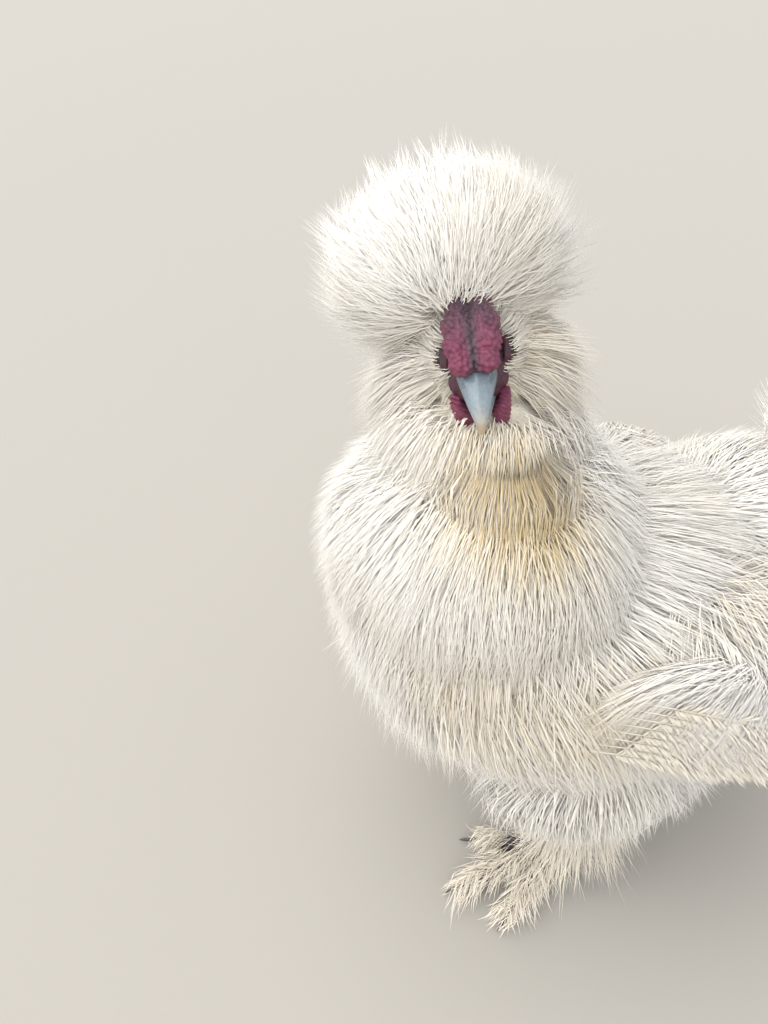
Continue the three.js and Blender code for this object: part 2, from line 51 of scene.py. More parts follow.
# Where things are: frames that turn the bird's millimetres into the model's metres
headPose = {"place": (-24, -33, 275), "yaw": 70, "down": 6, "tilt": -10, "eye": (11.4, -7, 2.5)}
headTurn = (Matrix.Rotation(headPose["yaw"] * deg, 3, "Z")
            @ Matrix.Rotation(headPose["down"] * deg, 3, "X")
            @ Matrix.Rotation(headPose["tilt"] * deg, 3, "Y"))
eyeLow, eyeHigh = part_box("eye_left")
eyeMiddle = (Vector(eyeLow) + Vector(eyeHigh)) / 2 / mm
birdOrigin = eyeMiddle - Vector(headPose["place"]) - headTurn @ Vector(headPose["eye"])
bodyFrame = Matrix.Scale(mm, 4) @ Matrix.Translation(birdOrigin)
headFrame = bodyFrame @ Matrix.Translation(headPose["place"]) @ headTurn.to_4x4()
wingPose = {"place": (81, 42, 146), "hang": -26}


def wingFrame(side):
    x, y, z = wingPose["place"]
    turn = Matrix.Rotation(wingPose["hang"] * deg, 4, "X")
    return bodyFrame @ Matrix.Translation((side * x, y, z)) @ turn


def placed(points, place):
    # points of one frame, as the model's metres
    grid = np.array(place)
    return points @ grid[:3, :3].T + grid[:3, 3]


def seenFrom(points, place):
    # the model's metres, as points of one frame
    return placed(points, place.inverted())


# Materials
def linear(hexColour):
    channels = [int(hexColour[i:i + 2], 16) / 255 for i in (0, 2, 4)]
    return (*[c / 12.92 if c <= 0.04045 else ((c + 0.055) / 1.055) ** 2.4 for c in channels], 1)


def addNode(tree, kind, inputs=None, **settings):
    made = tree.nodes.new(kind)
    for name, value in settings.items():
        setattr(made, name, value)
    for name, value in (inputs or {}).items():
        if isinstance(value, bpy.types.NodeSocket):
            tree.links.new(value, made.inputs[name])
        else:
            made.inputs[name].default_value = value
    return made


def newMaterial(name, **sockets):
    material = bpy.data.materials.new(name)
    material.use_nodes = True
    tree = material.node_tree
    shader = tree.nodes["Principled BSDF"]
    for socket, value in sockets.items():
        shader.inputs[socket.replace("_", " ")].default_value = value
    return material, tree, shader


def blendColours(tree, share, first, second, kind="MIX"):
    made = addNode(tree, "ShaderNodeMix", data_type="RGBA", blend_type=kind)
    for socket, value in ((0, share), (6, first), (7, second)):
        if isinstance(value, bpy.types.NodeSocket):
            tree.links.new(value, made.inputs[socket])
        else:
            made.inputs[socket].default_value = value
    return made.outputs[2]


def ramp(tree, value, stops):
    made = addNode(tree, "ShaderNodeValToRGB", {"Fac": value})
    points = made.color_ramp.elements
    points[0].position, points[0].color = stops[0]
    points[1].position, points[1].color = stops[-1]
    for place, colour in stops[1:-1]:
        points.new(place).color = colour
    return made.outputs["Color"]


def metresNoise(tree, size, detail=3, roughness=0.55):
    # noise whose grain is `size` millimetres across
    where = addNode(tree, "ShaderNodeTexCoord").outputs["Object"]
    scale = 1 / (size * mm)
    return addNode(tree, "ShaderNodeTexNoise",
                   {"Vector": where, "Scale": scale, "Detail": detail, "Roughness": roughness})


def bumpOn(tree, shader, height, depth, strength=0.6):
    bump = addNode(tree, "ShaderNodeBump",
                   {"Height": height, "Distance": depth * mm, "Strength": strength})
    tree.links.new(bump.outputs["Normal"], shader.inputs["Normal"])


# silky feather keratin: barbs without hooks, matt with a soft edge
coatLook = {"white": "fcf9f4", "cream": "e4cb98"}


def featherKeratin():
    material, tree, shader = newMaterial(
        "silky feather keratin", Roughness=0.62, IOR=1.5, Sheen_Weight=0.25, Sheen_Roughness=0.5,
        Specular_IOR_Level=0.2)
    tone = addNode(tree, "ShaderNodeAttribute", attribute_name="coatTone")
    parts = addNode(tree, "ShaderNodeSeparateXYZ", {"Vector": tone.outputs["Vector"]})
    cream, along, chance = parts.outputs
    ground = blendColours(tree, cream, linear(coatLook["white"]), linear(coatLook["cream"]))
    # darker and creamier towards each lock's root: partly the barbs' own cream base, partly painted shade
    # between the locks
    rootShadeAndCream = ramp(tree, along, [(0.0, (0.95, 0.91, 0.84, 1)), (0.4, (0.99, 0.98, 0.96, 1)),
                                (1.0, (1, 1, 1, 1))])
    shaded = blendColours(tree, 1.0, ground, rootShadeAndCream, "MULTIPLY")
    varied = ramp(tree, chance, [(0.0, (0.92, 0.91, 0.9, 1)), (0.5, (0.99, 0.99, 0.98, 1)),
                                 (1.0, (1, 1, 1, 1))])
    tree.links.new(blendColours(tree, 1.0, shaded, varied, "MULTIPLY"), shader.inputs["Base Color"])
    return material


# slate-black silkie skin, mulberry where it is bare on the face, cream down where the coat covers it
skinLook = {"slate": "3a3038", "mulberry": "5a2c3a", "down": "f0e8d8", "grain": 1.1}


def silkieSkin():
    material, tree, shader = newMaterial("silkie skin", Roughness=0.55, IOR=1.42, Subsurface_Weight=0.06)
    shader.inputs["Subsurface Radius"].default_value = (0.0014, 0.0006, 0.0005)
    tone = addNode(tree, "ShaderNodeAttribute", attribute_name="skinTone")
    parts = addNode(tree, "ShaderNodeSeparateXYZ", {"Vector": tone.outputs["Vector"]})
    bare, leg = parts.outputs[:2]
    mottled = metresNoise(tree, 2.5)
    face = ramp(tree, mottled.outputs["Fac"], [(0.3, linear(skinLook["slate"])),
                                               (0.7, linear(skinLook["mulberry"]))])
    legs = ramp(tree, mottled.outputs["Fac"], [(0.3, linear("2c2a2e")), (0.7, linear("565057"))])
    naked = blendColours(tree, leg, face, legs)
    tree.links.new(blendColours(tree, bare, linear(skinLook["down"]), naked), shader.inputs["Base Color"])
    grain = metresNoise(tree, skinLook["grain"], 5)
    bumpOn(tree, shader, grain.outputs["Fac"], 0.5, 0.8)
    return material


# comb and wattle flesh: painted shade darkens the comb's groove, its top is grey purple with painted sheen,
# crimson on the rest
def combFlesh():
    material, tree, shader = newMaterial("comb flesh", Roughness=0.48, IOR=1.4, Subsurface_Weight=0.12,
                                         Coat_Weight=0.1, Coat_Roughness=0.45)
    shader.inputs["Subsurface Radius"].default_value = (0.003, 0.0008, 0.0008)
    tone = addNode(tree, "ShaderNodeAttribute", attribute_name="fleshTone")
    mottled = metresNoise(tree, 3.5)
    deep = ramp(tree, mottled.outputs["Fac"], [(0.3, (0.55, 0.55, 0.6, 1)), (0.72, (1, 0.98, 1, 1))])
    # dark for painted shade in the groove, grey purple on the top partly as painted sheen, crimson elsewhere
    combHueShadeAndSheen = ramp(tree, tone.outputs["Fac"], [(0.0, linear("332a30")), (0.42, linear("6d4f5b")),
                                           (1.0, linear("87425a"))])
    tree.links.new(blendColours(tree, 1.0, combHueShadeAndSheen, deep, "MULTIPLY"), shader.inputs["Base Color"])
    pores = metresNoise(tree, 0.7, 4)
    bumpOn(tree, shader, pores.outputs["Fac"], 0.35, 0.7)
    return material


def earlobeSkin():
    # turquoise, as a silkie's lobe is
    material, tree, shader = newMaterial("earlobe skin", Roughness=0.5, Subsurface_Weight=0.1)
    mottled = metresNoise(tree, 1.8)
    tree.links.new(ramp(tree, mottled.outputs["Fac"], [(0.3, linear("4f9fa8")), (0.7, linear("86c4c4"))]),
                   shader.inputs["Base Color"])
    bumpOn(tree, shader, mottled.outputs["Fac"], 0.3)
    return material


# beak horn: slate blue, paler and browner at the worn tip, with growth lines along it
def beakHorn():
    material, tree, shader = newMaterial("beak horn", Roughness=0.28, IOR=1.54, Coat_Weight=0.15,
                                         Coat_Roughness=0.3)
    tone = addNode(tree, "ShaderNodeAttribute", attribute_name="hornTone")
    along = tone.outputs["Fac"]
    worn = ramp(tree, along, [(0.0, linear("55626a")), (0.3, linear("6d7b84")), (0.75, linear("87949b")),
                              (0.92, linear("a09f98")), (1.0, linear("b39c7c"))])
    streaks = metresNoise(tree, 1.4, 4)
    dirt = ramp(tree, streaks.outputs["Fac"], [(0.3, (0.8, 0.8, 0.8, 1)), (0.65, (1, 1, 1, 1))])
    tree.links.new(blendColours(tree, 1.0, worn, dirt, "MULTIPLY"), shader.inputs["Base Color"])
    bumpOn(tree, shader, streaks.outputs["Fac"], 0.12, 0.5)
    return material


def clawHorn():
    material, tree, shader = newMaterial("claw horn", Roughness=0.4, IOR=1.54)
    streaks = metresNoise(tree, 1.0, 4)
    tree.links.new(ramp(tree, streaks.outputs["Fac"], [(0.3, linear("2b2a2c")), (0.7, linear("5b5654"))]),
                   shader.inputs["Base Color"])
    bumpOn(tree, shader, streaks.outputs["Fac"], 0.1)
    return material


def eyeGlass():
    # a nearly black brown iris round the pupil, under a wet cornea
    material, tree, shader = newMaterial("eye", Roughness=0.12, IOR=1.38, Coat_Weight=0.8,
                                         Coat_Roughness=0.03)
    tone = addNode(tree, "ShaderNodeAttribute", attribute_name="irisTone")
    ring = ramp(tree, tone.outputs["Fac"], [(0.0, linear("060505")), (0.36, linear("070505")),
                                            (0.42, linear("3a2418")), (0.7, linear("4a2f1e")),
                                            (0.82, linear("14100e")), (1.0, linear("1a1416"))])
    tree.links.new(ring, shader.inputs["Base Color"])
    return material


materials = {"plumage": featherKeratin(), "skin": silkieSkin(), "comb": combFlesh(), "earlobe": earlobeSkin(),
             "beak": beakHorn(), "claw": clawHorn(), "eye": eyeGlass()}
print("materials made")


# Modelling
def only(*objects):
    bpy.ops.object.select_all(action="DESELECT")
    for thing in objects:
        thing.select_set(True)
    bpy.context.view_layer.objects.active = objects[0]


def settle(thing, place):
    # the primitive's own millimetres go to the model's metres, and its object to the origin
    thing.matrix_world = place
    only(thing)
    bpy.ops.object.transform_apply(location=True, rotation=True, scale=True)
    return thing


def addBall(place, centre, radii, segments=32, rings=20):
    bpy.ops.object.select_all(action="DESELECT")
    bpy.ops.mesh.primitive_uv_sphere_add(segments=segments, ring_count=rings, radius=1)
    return settle(bpy.context.object, place @ Matrix.Translation(centre) @ Matrix.Diagonal((*radii, 1)))


def drawnOut(place, stations, sidesRound=16):
    # a disc extruded from station to station: along, sideways, up, half width, half height
    bpy.ops.object.select_all(action="DESELECT")
    bpy.ops.mesh.primitive_circle_add(vertices=sidesRound, radius=1, fill_type="NGON")
    made = bpy.context.object
    bpy.ops.object.mode_set(mode="EDIT")
    bpy.ops.mesh.select_all(action="SELECT")
    along, across, height, wide, tall = stations[0]
    bpy.ops.transform.resize(value=(wide, tall, 1))
    bpy.ops.transform.translate(value=(across, height, along))
    for before, after in zip(stations, stations[1:]):
        step = (after[1] - before[1], after[2] - before[2], after[0] - before[0])
        bpy.ops.mesh.extrude_region_move(TRANSFORM_OT_translate={"value": step})
        bpy.ops.transform.resize(value=(after[3] / before[3], after[4] / before[4], 1),
                                 center_override=(after[1], after[2], after[0]))
    bpy.ops.mesh.select_all(action="SELECT")
    bpy.ops.mesh.normals_make_consistent(inside=False)
    bpy.ops.object.mode_set(mode="OBJECT")
    return settle(made, place)


def heading(place, forward, above=up):
    # a frame whose z runs forward and whose y is the upper side
    z = Vector(forward).normalized()
    x = Vector(above).cross(z).normalized()
    y = z.cross(x)
    turn = Matrix((x, y, z)).transposed().to_4x4()
    return Matrix.Translation(place) @ turn


def joinAll(objects, name):
    only(*objects)
    bpy.ops.object.join()
    made = bpy.context.object
    made.name = name
    made.data.name = name
    return made


def modified(thing, kind, **settings):
    only(thing)
    modifier = thing.modifiers.new(kind.lower(), kind)
    for name, value in settings.items():
        setattr(modifier, name, value)
    bpy.ops.object.modifier_apply(modifier=modifier.name)
    return thing


def fused(thing, voxel, smoothing=4):
    modified(thing, "REMESH", mode="VOXEL", voxel_size=voxel * mm)
    if smoothing:
        modified(thing, "SMOOTH", factor=0.5, iterations=smoothing)
    return thing


def vertices(thing):
    grid = np.empty(len(thing.data.vertices) * 3, dtype=np.float32)
    thing.data.vertices.foreach_get("co", grid)
    return grid.reshape(-1, 3).astype(float)


def reshape(thing, points):
    thing.data.vertices.foreach_set("co", points.astype(np.float32).ravel())
    thing.data.update()


def normals(thing):
    grid = np.empty(len(thing.data.vertices) * 3, dtype=np.float32)
    thing.data.vertex_normals.foreach_get("vector", grid)
    return grid.reshape(-1, 3).astype(float)


def toned(thing, name, values):
    # a point attribute that the material reads: one number, or three
    kind, key = ("FLOAT", "value") if values.ndim == 1 else ("FLOAT_VECTOR", "vector")
    layer = thing.data.attributes.new(name, kind, "POINT")
    layer.data.foreach_set(key, values.astype(np.float32).ravel())


def finished(thing, name, material, slot, *nodes):
    thing.name = name
    thing.data.name = name
    thing.data.materials.clear()
    thing.data.materials.append(materials[material])
    if material != "plumage":
        only(thing)
        bpy.ops.object.shade_smooth()
    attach(thing, "root")
    if nodes:
        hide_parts(*nodes)
    return thing


# Masses of the bird: the outline that the coat's tips reach, the pole that its feathers leave, and
# the depth from which a mass hides the locks of another
masses = {
    "crest": {"at": headFrame, "centre": (-7, 22, 22), "radii": (49, 40, 40),
              "pole": (0, -0.75, -0.66), "thick": 0.7},
    "crest_tip": {"at": headFrame, "centre": (-7, 22, 22), "radii": (49, 40, 40), "pole": (0.02, 0.33, 0.95)},
    "brow": {"at": headFrame, "centre": (0, 6, 1), "radii": (24, 30, 25), "pole": (0, -1, 0.15)},
    "chin": {"at": headFrame, "centre": (0, 0, -10), "radii": (21, 25, 19), "pole": (0, -0.75, 0.65)},
    "beard": {"at": headFrame, "centre": (-1, 8, -13), "radii": (49, 37, 33),
              "pole": (0, -0.9, 0.43), "thick": 0.7},
    "neck": {"at": bodyFrame, "centre": (-20, -30, 229), "radii": (46, 49, 44),
             "pole": (0, 0, 1), "thick": 0.8},
    "collar": {"at": bodyFrame, "centre": (-14, -30, 216), "radii": (57, 58, 40),
               "pole": (0, 0, 1), "thick": 0.84},
    "bib": {"at": bodyFrame, "centre": (10, -35, 236), "radii": (33, 33, 42), "pole": (-0.35, 0.2, 1)},
    "breast": {"at": bodyFrame, "centre": (-6, -34, 194), "radii": (77, 73, 56),
               "pole": (0.05, 0.1, 1), "thick": 0.84},
    "apron": {"at": bodyFrame, "centre": (-3, -18, 168), "radii": (84, 87, 73),
              "pole": (0, 0.1, 1), "thick": 0.86},
    "body": {"at": bodyFrame, "centre": (0, 4, 144), "radii": (92, 104, 70),
             "pole": (0, -0.4, 0.92), "thick": 0.84,
             "bulges": [((0, 0.85, 0.55), 0.12, 40), ((0, -0.9, 0.4), 0.05, 45)]},
    "rump": {"at": bodyFrame, "centre": (0, 96, 166), "radii": (54, 56, 42),
             "pole": (0, -0.7, 0.7), "thick": 0.8},
    "tail": {"at": bodyFrame, "centre": (0, 156, 206), "radii": (46, 52, 40),
             "pole": (0, -0.95, -0.3), "thick": 0.7},
}
for word, side in sides.items():
    masses["thigh_" + word] = {"at": bodyFrame, "centre": (side * 48, 10, 87), "radii": (43, 68, 37),
                               "pole": (0, -0.3, 0.95), "thick": 0.78}
    masses["flank_" + word] = {"at": bodyFrame, "centre": (side * 48, 44, 150), "radii": (50, 72, 56),
                               "pole": (side * 0.25, -0.3, 1), "thick": 0.82}
    masses["cape_" + word] = {"at": wingFrame(side), "centre": (0, 4, 2), "radii": (17.5, 78, 35),
                              "pole": (0, -0.15, 1)}


def massWays(mass, t, phi):
    # t from the pole, phi round it
    turn = np.array(up.rotation_difference(Vector(mass["pole"]).normalized()).to_matrix())
    return np.stack([np.sin(t) * np.cos(phi), np.sin(t) * np.sin(phi), np.cos(t)], -1) @ turn.T


def massPoints(mass, ways, depth):
    # depth 1 is on the outline
    swell = np.ones(ways.shape[:-1])
    for at, amount, spread in mass.get("bulges", []):
        aim = np.array(Vector(at).normalized())
        angle = np.arccos(np.clip(ways @ aim, -1, 1))
        swell += amount * np.exp(-((angle / (spread * deg)) ** 2))
    return ways * np.array(mass["radii"]) * (swell * depth)[..., None] + np.array(mass["centre"])


def massDepth(mass, points):
    # how deep points of the model's metres are in a mass: 1 on its outline
    own = seenFrom(points, mass["at"])
    return np.linalg.norm((own - np.array(mass["centre"])) / np.array(mass["radii"]), axis=-1)


# The room in front of comb, eyes and beak that the plumage leaves open, in the head's frame:
# each limb is a list of y, middle height, half width and half height
faceLimbs = [
    [(6, 7, 10, 8), (-8, 11, 12, 12), (-70, 37, 26, 27)],
    [(-2, -2, 13, 10), (-24, -4, 14, 11), (-80, -10, 22, 18)],
]
faceParts = [((0, -15, 9), (9.5, 13, 9)), ((0, -28, -5), (8.5, 14, 8.5))]  # middle and radii: comb, beak
for side in sides.values():
    faceParts += [((side * 12, -14, -4), (2.4, 3.4, 2.6)), ((side * 12.5, -22, -15), (4.4, 6, 8.5))]


def faceDepth(points):
    # less than 1 is in the room in front of the face
    own = seenFrom(points, headFrame)
    outside = 9.0
    best = np.full(own.shape[:-1], outside)
    for line in faceLimbs:
        ys, *rows = zip(*line[::-1])
        middle, wide, tall = (np.interp(own[..., 1], ys, row) for row in rows)
        depth = np.hypot(own[..., 0] / wide, (own[..., 2] - middle) / tall)
        best = np.minimum(best, np.where(own[..., 1] < ys[-1], depth, outside))
    return best


def partDepth(points):
    # less than 1 is in the comb, the beak, an eye's corner or a wattle
    own = seenFrom(points, headFrame)
    return np.min([np.linalg.norm((own - middle) / radii, axis=-1) for middle, radii in faceParts], axis=0)


# Skin: one closed form under the whole coat
legs = {"hip": 48, "hock": 74, "ankle": 17, "feet": {"left": (54, -8), "right": (-48, 12)}}
skinMasses = [  # frame, middle, radii
    (bodyFrame, (-6, -34, 194), (57, 53, 41)),
    (bodyFrame, (0, 4, 144), (69, 78, 52)),
    (bodyFrame, (0, 50, 160), (52, 52, 44)),
    (bodyFrame, (0, 86, 156), (34, 40, 24)),
    (bodyFrame, (0, 124, 176), (18, 32, 17)),
    (bodyFrame, (-20, -30, 230), (29, 31, 30)),
    (headFrame, (-2, 20, 18), (24, 20, 19)),
    (headFrame, (-1, 12, -12), (20, 17, 15)),
]
for side in sides.values():
    skinMasses.append((bodyFrame, (side * 48, 10, 87), (27, 44, 23)))
    skinMasses.append((wingFrame(side), (side * -3.5, -12, 1), (9, 54, 19)))
throat = [((-18, -24, 205), 23), ((-20, -27, 235), 18), ((-23, -31, 256), 14.5), ((-25, -33, 272), 12.5)]
toes = {  # degrees from straight ahead towards the outside, length, how far the tip rises
    "inner": (-26, 40, 0), "middle": (2, 50, 0), "outer": (32, 42, 0),
    "hind": (196, 22, 0), "fifth": (226, 24, 9),
}


def chain(place, stations, name, sidesRound=20):
    # a limb through points with a radius each, as overlapping balls and cones between them
    pieces = []
    for (start, first), (end, second) in zip(stations, stations[1:]):
        steps = max(2, int((Vector(end) - Vector(start)).length / (0.35 * min(first, second))) + 1)
        for k in range(steps + 1):
            share = k / steps
            middle = Vector(start).lerp(Vector(end), share)
            radius = first + (second - first) * share
            pieces.append(addBall(place, middle, (radius,) * 3, sidesRound, sidesRound // 2))
    return joinAll(pieces, name)


def toeStations(sideName, toe):
    side = sides[sideName]
    angle, length, rise = toes[toe]
    x, y = legs["feet"][sideName]

    def at(share, height):
        return (x + side * math.sin(angle * deg) * length * share,
                y - math.cos(angle * deg) * length * share, height + rise * share * share)

    return at


def legSkin(sideName):
    side = sides[sideName]
    x, y = legs["feet"][sideName]
    hip = side * legs["hip"]
    pieces = [chain(bodyFrame, [((hip, y + 22, legs["hock"]), 8.5), (((hip + x) / 2, y + 12, 44), 6),
                                ((x, y, legs["ankle"]), 6.3), ((x, y, 8.5), 8)], "shank")]
    for toe in toes:
        at = toeStations(sideName, toe)
        pads = [(at(0.0, 9), 4.4), (at(0.3, 4.6), 4.2), (at(0.42, 4.3), 3.7), (at(0.6, 4.1), 4.0),
                (at(0.72, 3.8), 3.3), (at(0.88, 3.7), 3.4), (at(1, 3.2), 2.2)]
        pieces.append(chain(bodyFrame, pads, toe, 14))
    whole = joinAll(pieces, "leg " + sideName)
    fused(whole, 0.85, 2)
    return whole


lids = {"major": 5.4, "minor": 0.9, "out": 12.6, "folds": ((0.0, 0.96), (0.16, 1.08))}  # tilt and reach


def headSkin():
    pieces = [addBall(headFrame, (0, 2, 0), (15, 20, 16)), addBall(headFrame, (0, -12, -3), (10.5, 12, 10.5)),
              addBall(headFrame, (0, -17, -7), (8.6, 7, 6.2))]
    for side in sides.values():
        for tilt, reach in lids["folds"]:
            bpy.ops.object.select_all(action="DESELECT")
            bpy.ops.mesh.primitive_torus_add(major_segments=36, minor_segments=10,
                                             major_radius=lids["major"] * reach,
                                             minor_radius=lids["minor"])
            place = headFrame @ Matrix.Translation((side * (lids["out"] - 9 * tilt), -7, 2.5))
            turn = Matrix.Rotation(90 * deg + tilt, 4, "Y")
            pieces.append(settle(bpy.context.object, place @ turn @ Matrix.Diagonal((0.86, 1.12, 1, 1))))
        pieces.append(addBall(headFrame, (side * 7.8, -13.5, -5.5), (3.8, 5.5, 4.6)))
    whole = joinAll(pieces, "head skin")
    fused(whole, 0.55, 3)
    return whole


def makeSkin():
    pieces = [addBall(place, centre, radii, 40, 24) for place, centre, radii in skinMasses]
    pieces.append(chain(bodyFrame, throat, "throat"))
    whole = fused(joinAll(pieces, "skin"), 2.0, 8)
    for part in [headSkin(), legSkin("left"), legSkin("right")]:
        modified(whole, "BOOLEAN", operation="UNION", solver="MANIFOLD", object=part)
        bpy.data.objects.remove(part)
    points = vertices(whole)
    own = seenFrom(points, headFrame)
    rng = np.random.default_rng(5)
    onFace = np.clip((18 - np.linalg.norm((own - (0, -9, 0)) * (1, 0.8, 0.9), axis=1)) / 3, 0, 1)
    low = seenFrom(points, bodyFrame)[:, 2]
    onLeg = np.clip((64 - low) / 10, 0, 1)
    toned(whole, "skinTone", np.stack([np.maximum(onFace, onLeg), onLeg, rng.random(len(points))], -1))
    nodes = ["head", "neck", "torso", "tail"] + [part + "_" + word for word in sides
                                                 for part in ("wing", "thigh", "shank", "foot")]
    return finished(whole, "skin_whole", "skin", "skin", *nodes)


skin = makeSkin()
print("skin", len(skin.data.polygons), "faces")

# Comb: a pebbled cushion with a groove down its middle, bulbs beside it and two lobes on top
comb = {"centre": (0, -10.5, 12.5), "radii": (9.6, 15.0, 7.6), "lean": 38,
        "pebble": 1.1, "apart": 1.6, "sunk": 0.15, "under": -3.5, "seed": 8,
        "rows": [(-11, 5.2, 4.4), (-4.5, 5.8, 5.4), (2.5, 5.6, 5.6), (9, 4.4, 4.8)]}


def makeComb():
    place = headFrame @ Matrix.Translation(comb["centre"]) @ Matrix.Rotation(comb["lean"] * deg, 4, "X")
    pieces = [addBall(place, (0, 0, 0), comb["radii"])]
    for along, apart, size in comb["rows"]:
        for side in (-1, 1):
            pieces.append(addBall(place, (side * apart * 0.9, along, 3.2), (size * 0.95, size, size * 0.95)))
    pieces.append(addBall(place, (0, 14, 1.5), (4, 4.2, 4.4)))
    pieces.append(addBall(place, (-6.5, 15.5, 1.5), (1.7, 4.4, 1.9)))
    base = fused(joinAll(pieces, "comb base"), 0.7, 3)
    spots, ways = seenFrom(vertices(base), place), normals(base)
    rng = np.random.default_rng(comb["seed"])
    order = rng.permutation(len(spots))
    chosen = []
    for i in order:  # pebbles keep about their own width apart
        if spots[i][2] < comb["under"]:
            continue
        if all(np.sum((spots[i] - spots[j]) ** 2) > comb["apart"] ** 2 for j in chosen):
            chosen.append(i)
    bpy.ops.object.select_all(action="DESELECT")
    bpy.ops.mesh.primitive_ico_sphere_add(subdivisions=2, radius=1)
    pebble = bpy.context.object
    pebbles = [base]
    for i in chosen:
        size = comb["pebble"] * rng.uniform(0.75, 1.25)
        one = pebble.copy()
        one.data = pebble.data.copy()
        bpy.context.collection.objects.link(one)
        middle = placed(spots[i], place) - ways[i] * comb["sunk"] * mm
        one.data.transform(Matrix.Translation(middle) @ Matrix.Scale(size * mm, 4))
        pebbles.append(one)
    bpy.data.objects.remove(pebble)
    whole = fused(joinAll(pebbles, "comb"), 0.34, 1)
    own = seenFrom(vertices(whole), place)
    # painted shade: the tone falls towards the comb's middle, darkening its groove
    grooveShade = np.clip(np.abs(own[:, 0]) / 3.2, 0.0, 1)
    low = np.clip(0.45 - own[:, 1] / 16, 0, 1)  # the lower bulbs are redder than the grey-purple top, whose grey is partly painted sheen
    toned(whole, "fleshTone", grooveShade * (0.3 + 0.7 * low) + 0.12)
    return finished(whole, "pebbled_comb", "comb", "comb", "comb")


combPiece = makeComb()
print("comb", len(combPiece.data.polygons), "faces")

# Wattles: small, rounded, folded down the middle
wattle = {"stations": [(0, 0, 0, 2.2, 2.4), (3.5, 1.3, -0.2, 3.1, 3.4), (7.5, 2.4, -0.5, 3.8, 3.8),
                       (11.8, 2.7, -0.3, 3.1, 3.1), (14.6, 2.5, -0.2, 1.2, 1.4)], "apart": 1.7}


def makeWattle(word):
    side = sides[word]
    pieces = []
    for fold in (-wattle["apart"], wattle["apart"]):
        place = headFrame @ heading((side * 9.6, -20.5 + fold, -8.0), (0, 0, -1), (0, -1, 0))
        stations = [(along, -side * across, height, wide, tall) for along, across, height, wide, tall in
                    wattle["stations"]]
        pieces.append(drawnOut(place, stations, 14))
    whole = fused(joinAll(pieces, "wattle"), 0.4, 4)
    rng = np.random.default_rng(20 + side)
    points, ways = vertices(whole), normals(whole)
    ripple = np.sin(seenFrom(points, headFrame) @ np.array((1.9, 2.3, 2.7)) + rng.uniform(0, 6))
    reshape(whole, points + ways * (0.16 * ripple * mm)[:, None])
    toned(whole, "fleshTone", np.full(len(points), 1.0))
    return finished(whole, "folded_wattle_" + word, "comb", "comb", "wattle_" + word)


for word in sides:
    makeWattle(word)
    side = sides[word]
    lobe = fused(addBall(headFrame, (side * 14.2, 5, -5), (2.4, 4.2, 5.2)), 0.5, 2)
    finished(lobe, "lobe_" + word, "earlobe", "earlobe", "earlobe_" + word)

# Beak: two halves of horn, the upper hooked a little over the lower
beak = {
    "upper": [(0, 0, 0, 8.2, 6.2), (5, 0, -0.2, 7.5, 5.8), (11, 0, -1.4, 5.9, 4.9), (17, 0, -3.6, 4.1, 3.7),
              (21.5, 0, -6.4, 2.4, 2.6), (23.6, 0, -8.9, 1.2, 1.5), (24, 0, -10.4, 0.5, 0.7)],
    "lower": [(0, 0, 0, 7.2, 3.0), (7, 0, -0.2, 6.0, 2.7), (14, 0, -0.6, 4.2, 2.2), (20, 0, -1.8, 1.8, 1.3)],
    "nostril": (6.4, 7.4, 1.6),
}


def makeBeak():
    place = headFrame @ heading((0, -16, 0), (0, -1, 0))
    upper = drawnOut(place, beak["upper"], 24)
    modified(upper, "BEVEL", width=0.4 * mm, segments=1, limit_method="ANGLE", angle_limit=60 * deg)
    modified(upper, "SUBSURF", levels=2, render_levels=2)
    points = vertices(upper)
    own = seenFrom(points, place)
    ridge = np.exp(-(own[:, 0] / 1.3) ** 2) * (own[:, 1] > -3)  # the culmen's keel
    for side in (-1, 1):
        spot = np.array((side * beak["nostril"][0], beak["nostril"][2], beak["nostril"][1]))
        away = np.linalg.norm((own - spot) / (2.2, 1.0, 2.4), axis=1)
        own[:, 0] -= side * 1.6 * np.exp(-away ** 4)
    own[:, 1] += 0.45 * ridge
    reshape(upper, placed(own, place))
    toned(upper, "hornTone", np.clip(own[:, 2] / 24, 0, 1))
    finished(upper, "beak_horn_upper", "beak", "beak", "beak_upper")
    lowPlace = headFrame @ heading((0, -15, -8.4), (0, -1, 0))
    lower = drawnOut(lowPlace, beak["lower"], 20)
    modified(lower, "SUBSURF", levels=2, render_levels=2)
    toned(lower, "hornTone", np.clip(seenFrom(vertices(lower), place)[:, 2] / 24, 0, 1) * 0.85)
    finished(lower, "beak_horn_lower", "beak", "beak", "beak_lower")


makeBeak()

eye = {"radius": 5.4, "place": (11.4, -7, 2.5)}
for word, side in sides.items():
    x, y, z = eye["place"]
    ball = addBall(headFrame, (side * x, y, z), (eye["radius"],) * 3, 40, 28)
    ways = seenFrom(vertices(ball), headFrame) - np.array((side * x, y, z))
    toned(ball, "irisTone", np.clip(np.hypot(ways[:, 1], ways[:, 2]) / eye["radius"], 0, 1))
    finished(ball, "eyeball_" + word, "eye", "eye", "eye_" + word)


def makeClaw(word, toe):
    at = toeStations(word, toe)
    stations = [(at(0.93, 3.4), 1.9, 1.9), (at(1.08, 3.7), 1.6, 1.8), (at(1.2, 2.6), 0.95, 1.15),
                (at(1.3, 0.9), 0.3, 0.3)]
    start, tip = Vector(stations[0][0]), Vector(stations[-1][0])
    way = Vector((tip.x - start.x, tip.y - start.y, 0)).normalized()
    place = bodyFrame @ heading(start, way)
    line = [((Vector(p) - start).dot(way), 0, p[2] - start.z, wide, tall) for p, wide, tall in stations]
    claw = drawnOut(place, line, 12)
    modified(claw, "SUBSURF", levels=2, render_levels=2)
    finished(claw, "horn_claw_" + toe + "_" + word, "claw", "claw", "claw_" + toe + "_" + word)


for word in sides:
    for toe in toes:
        makeClaw(word, toe)
print("head and claws done")


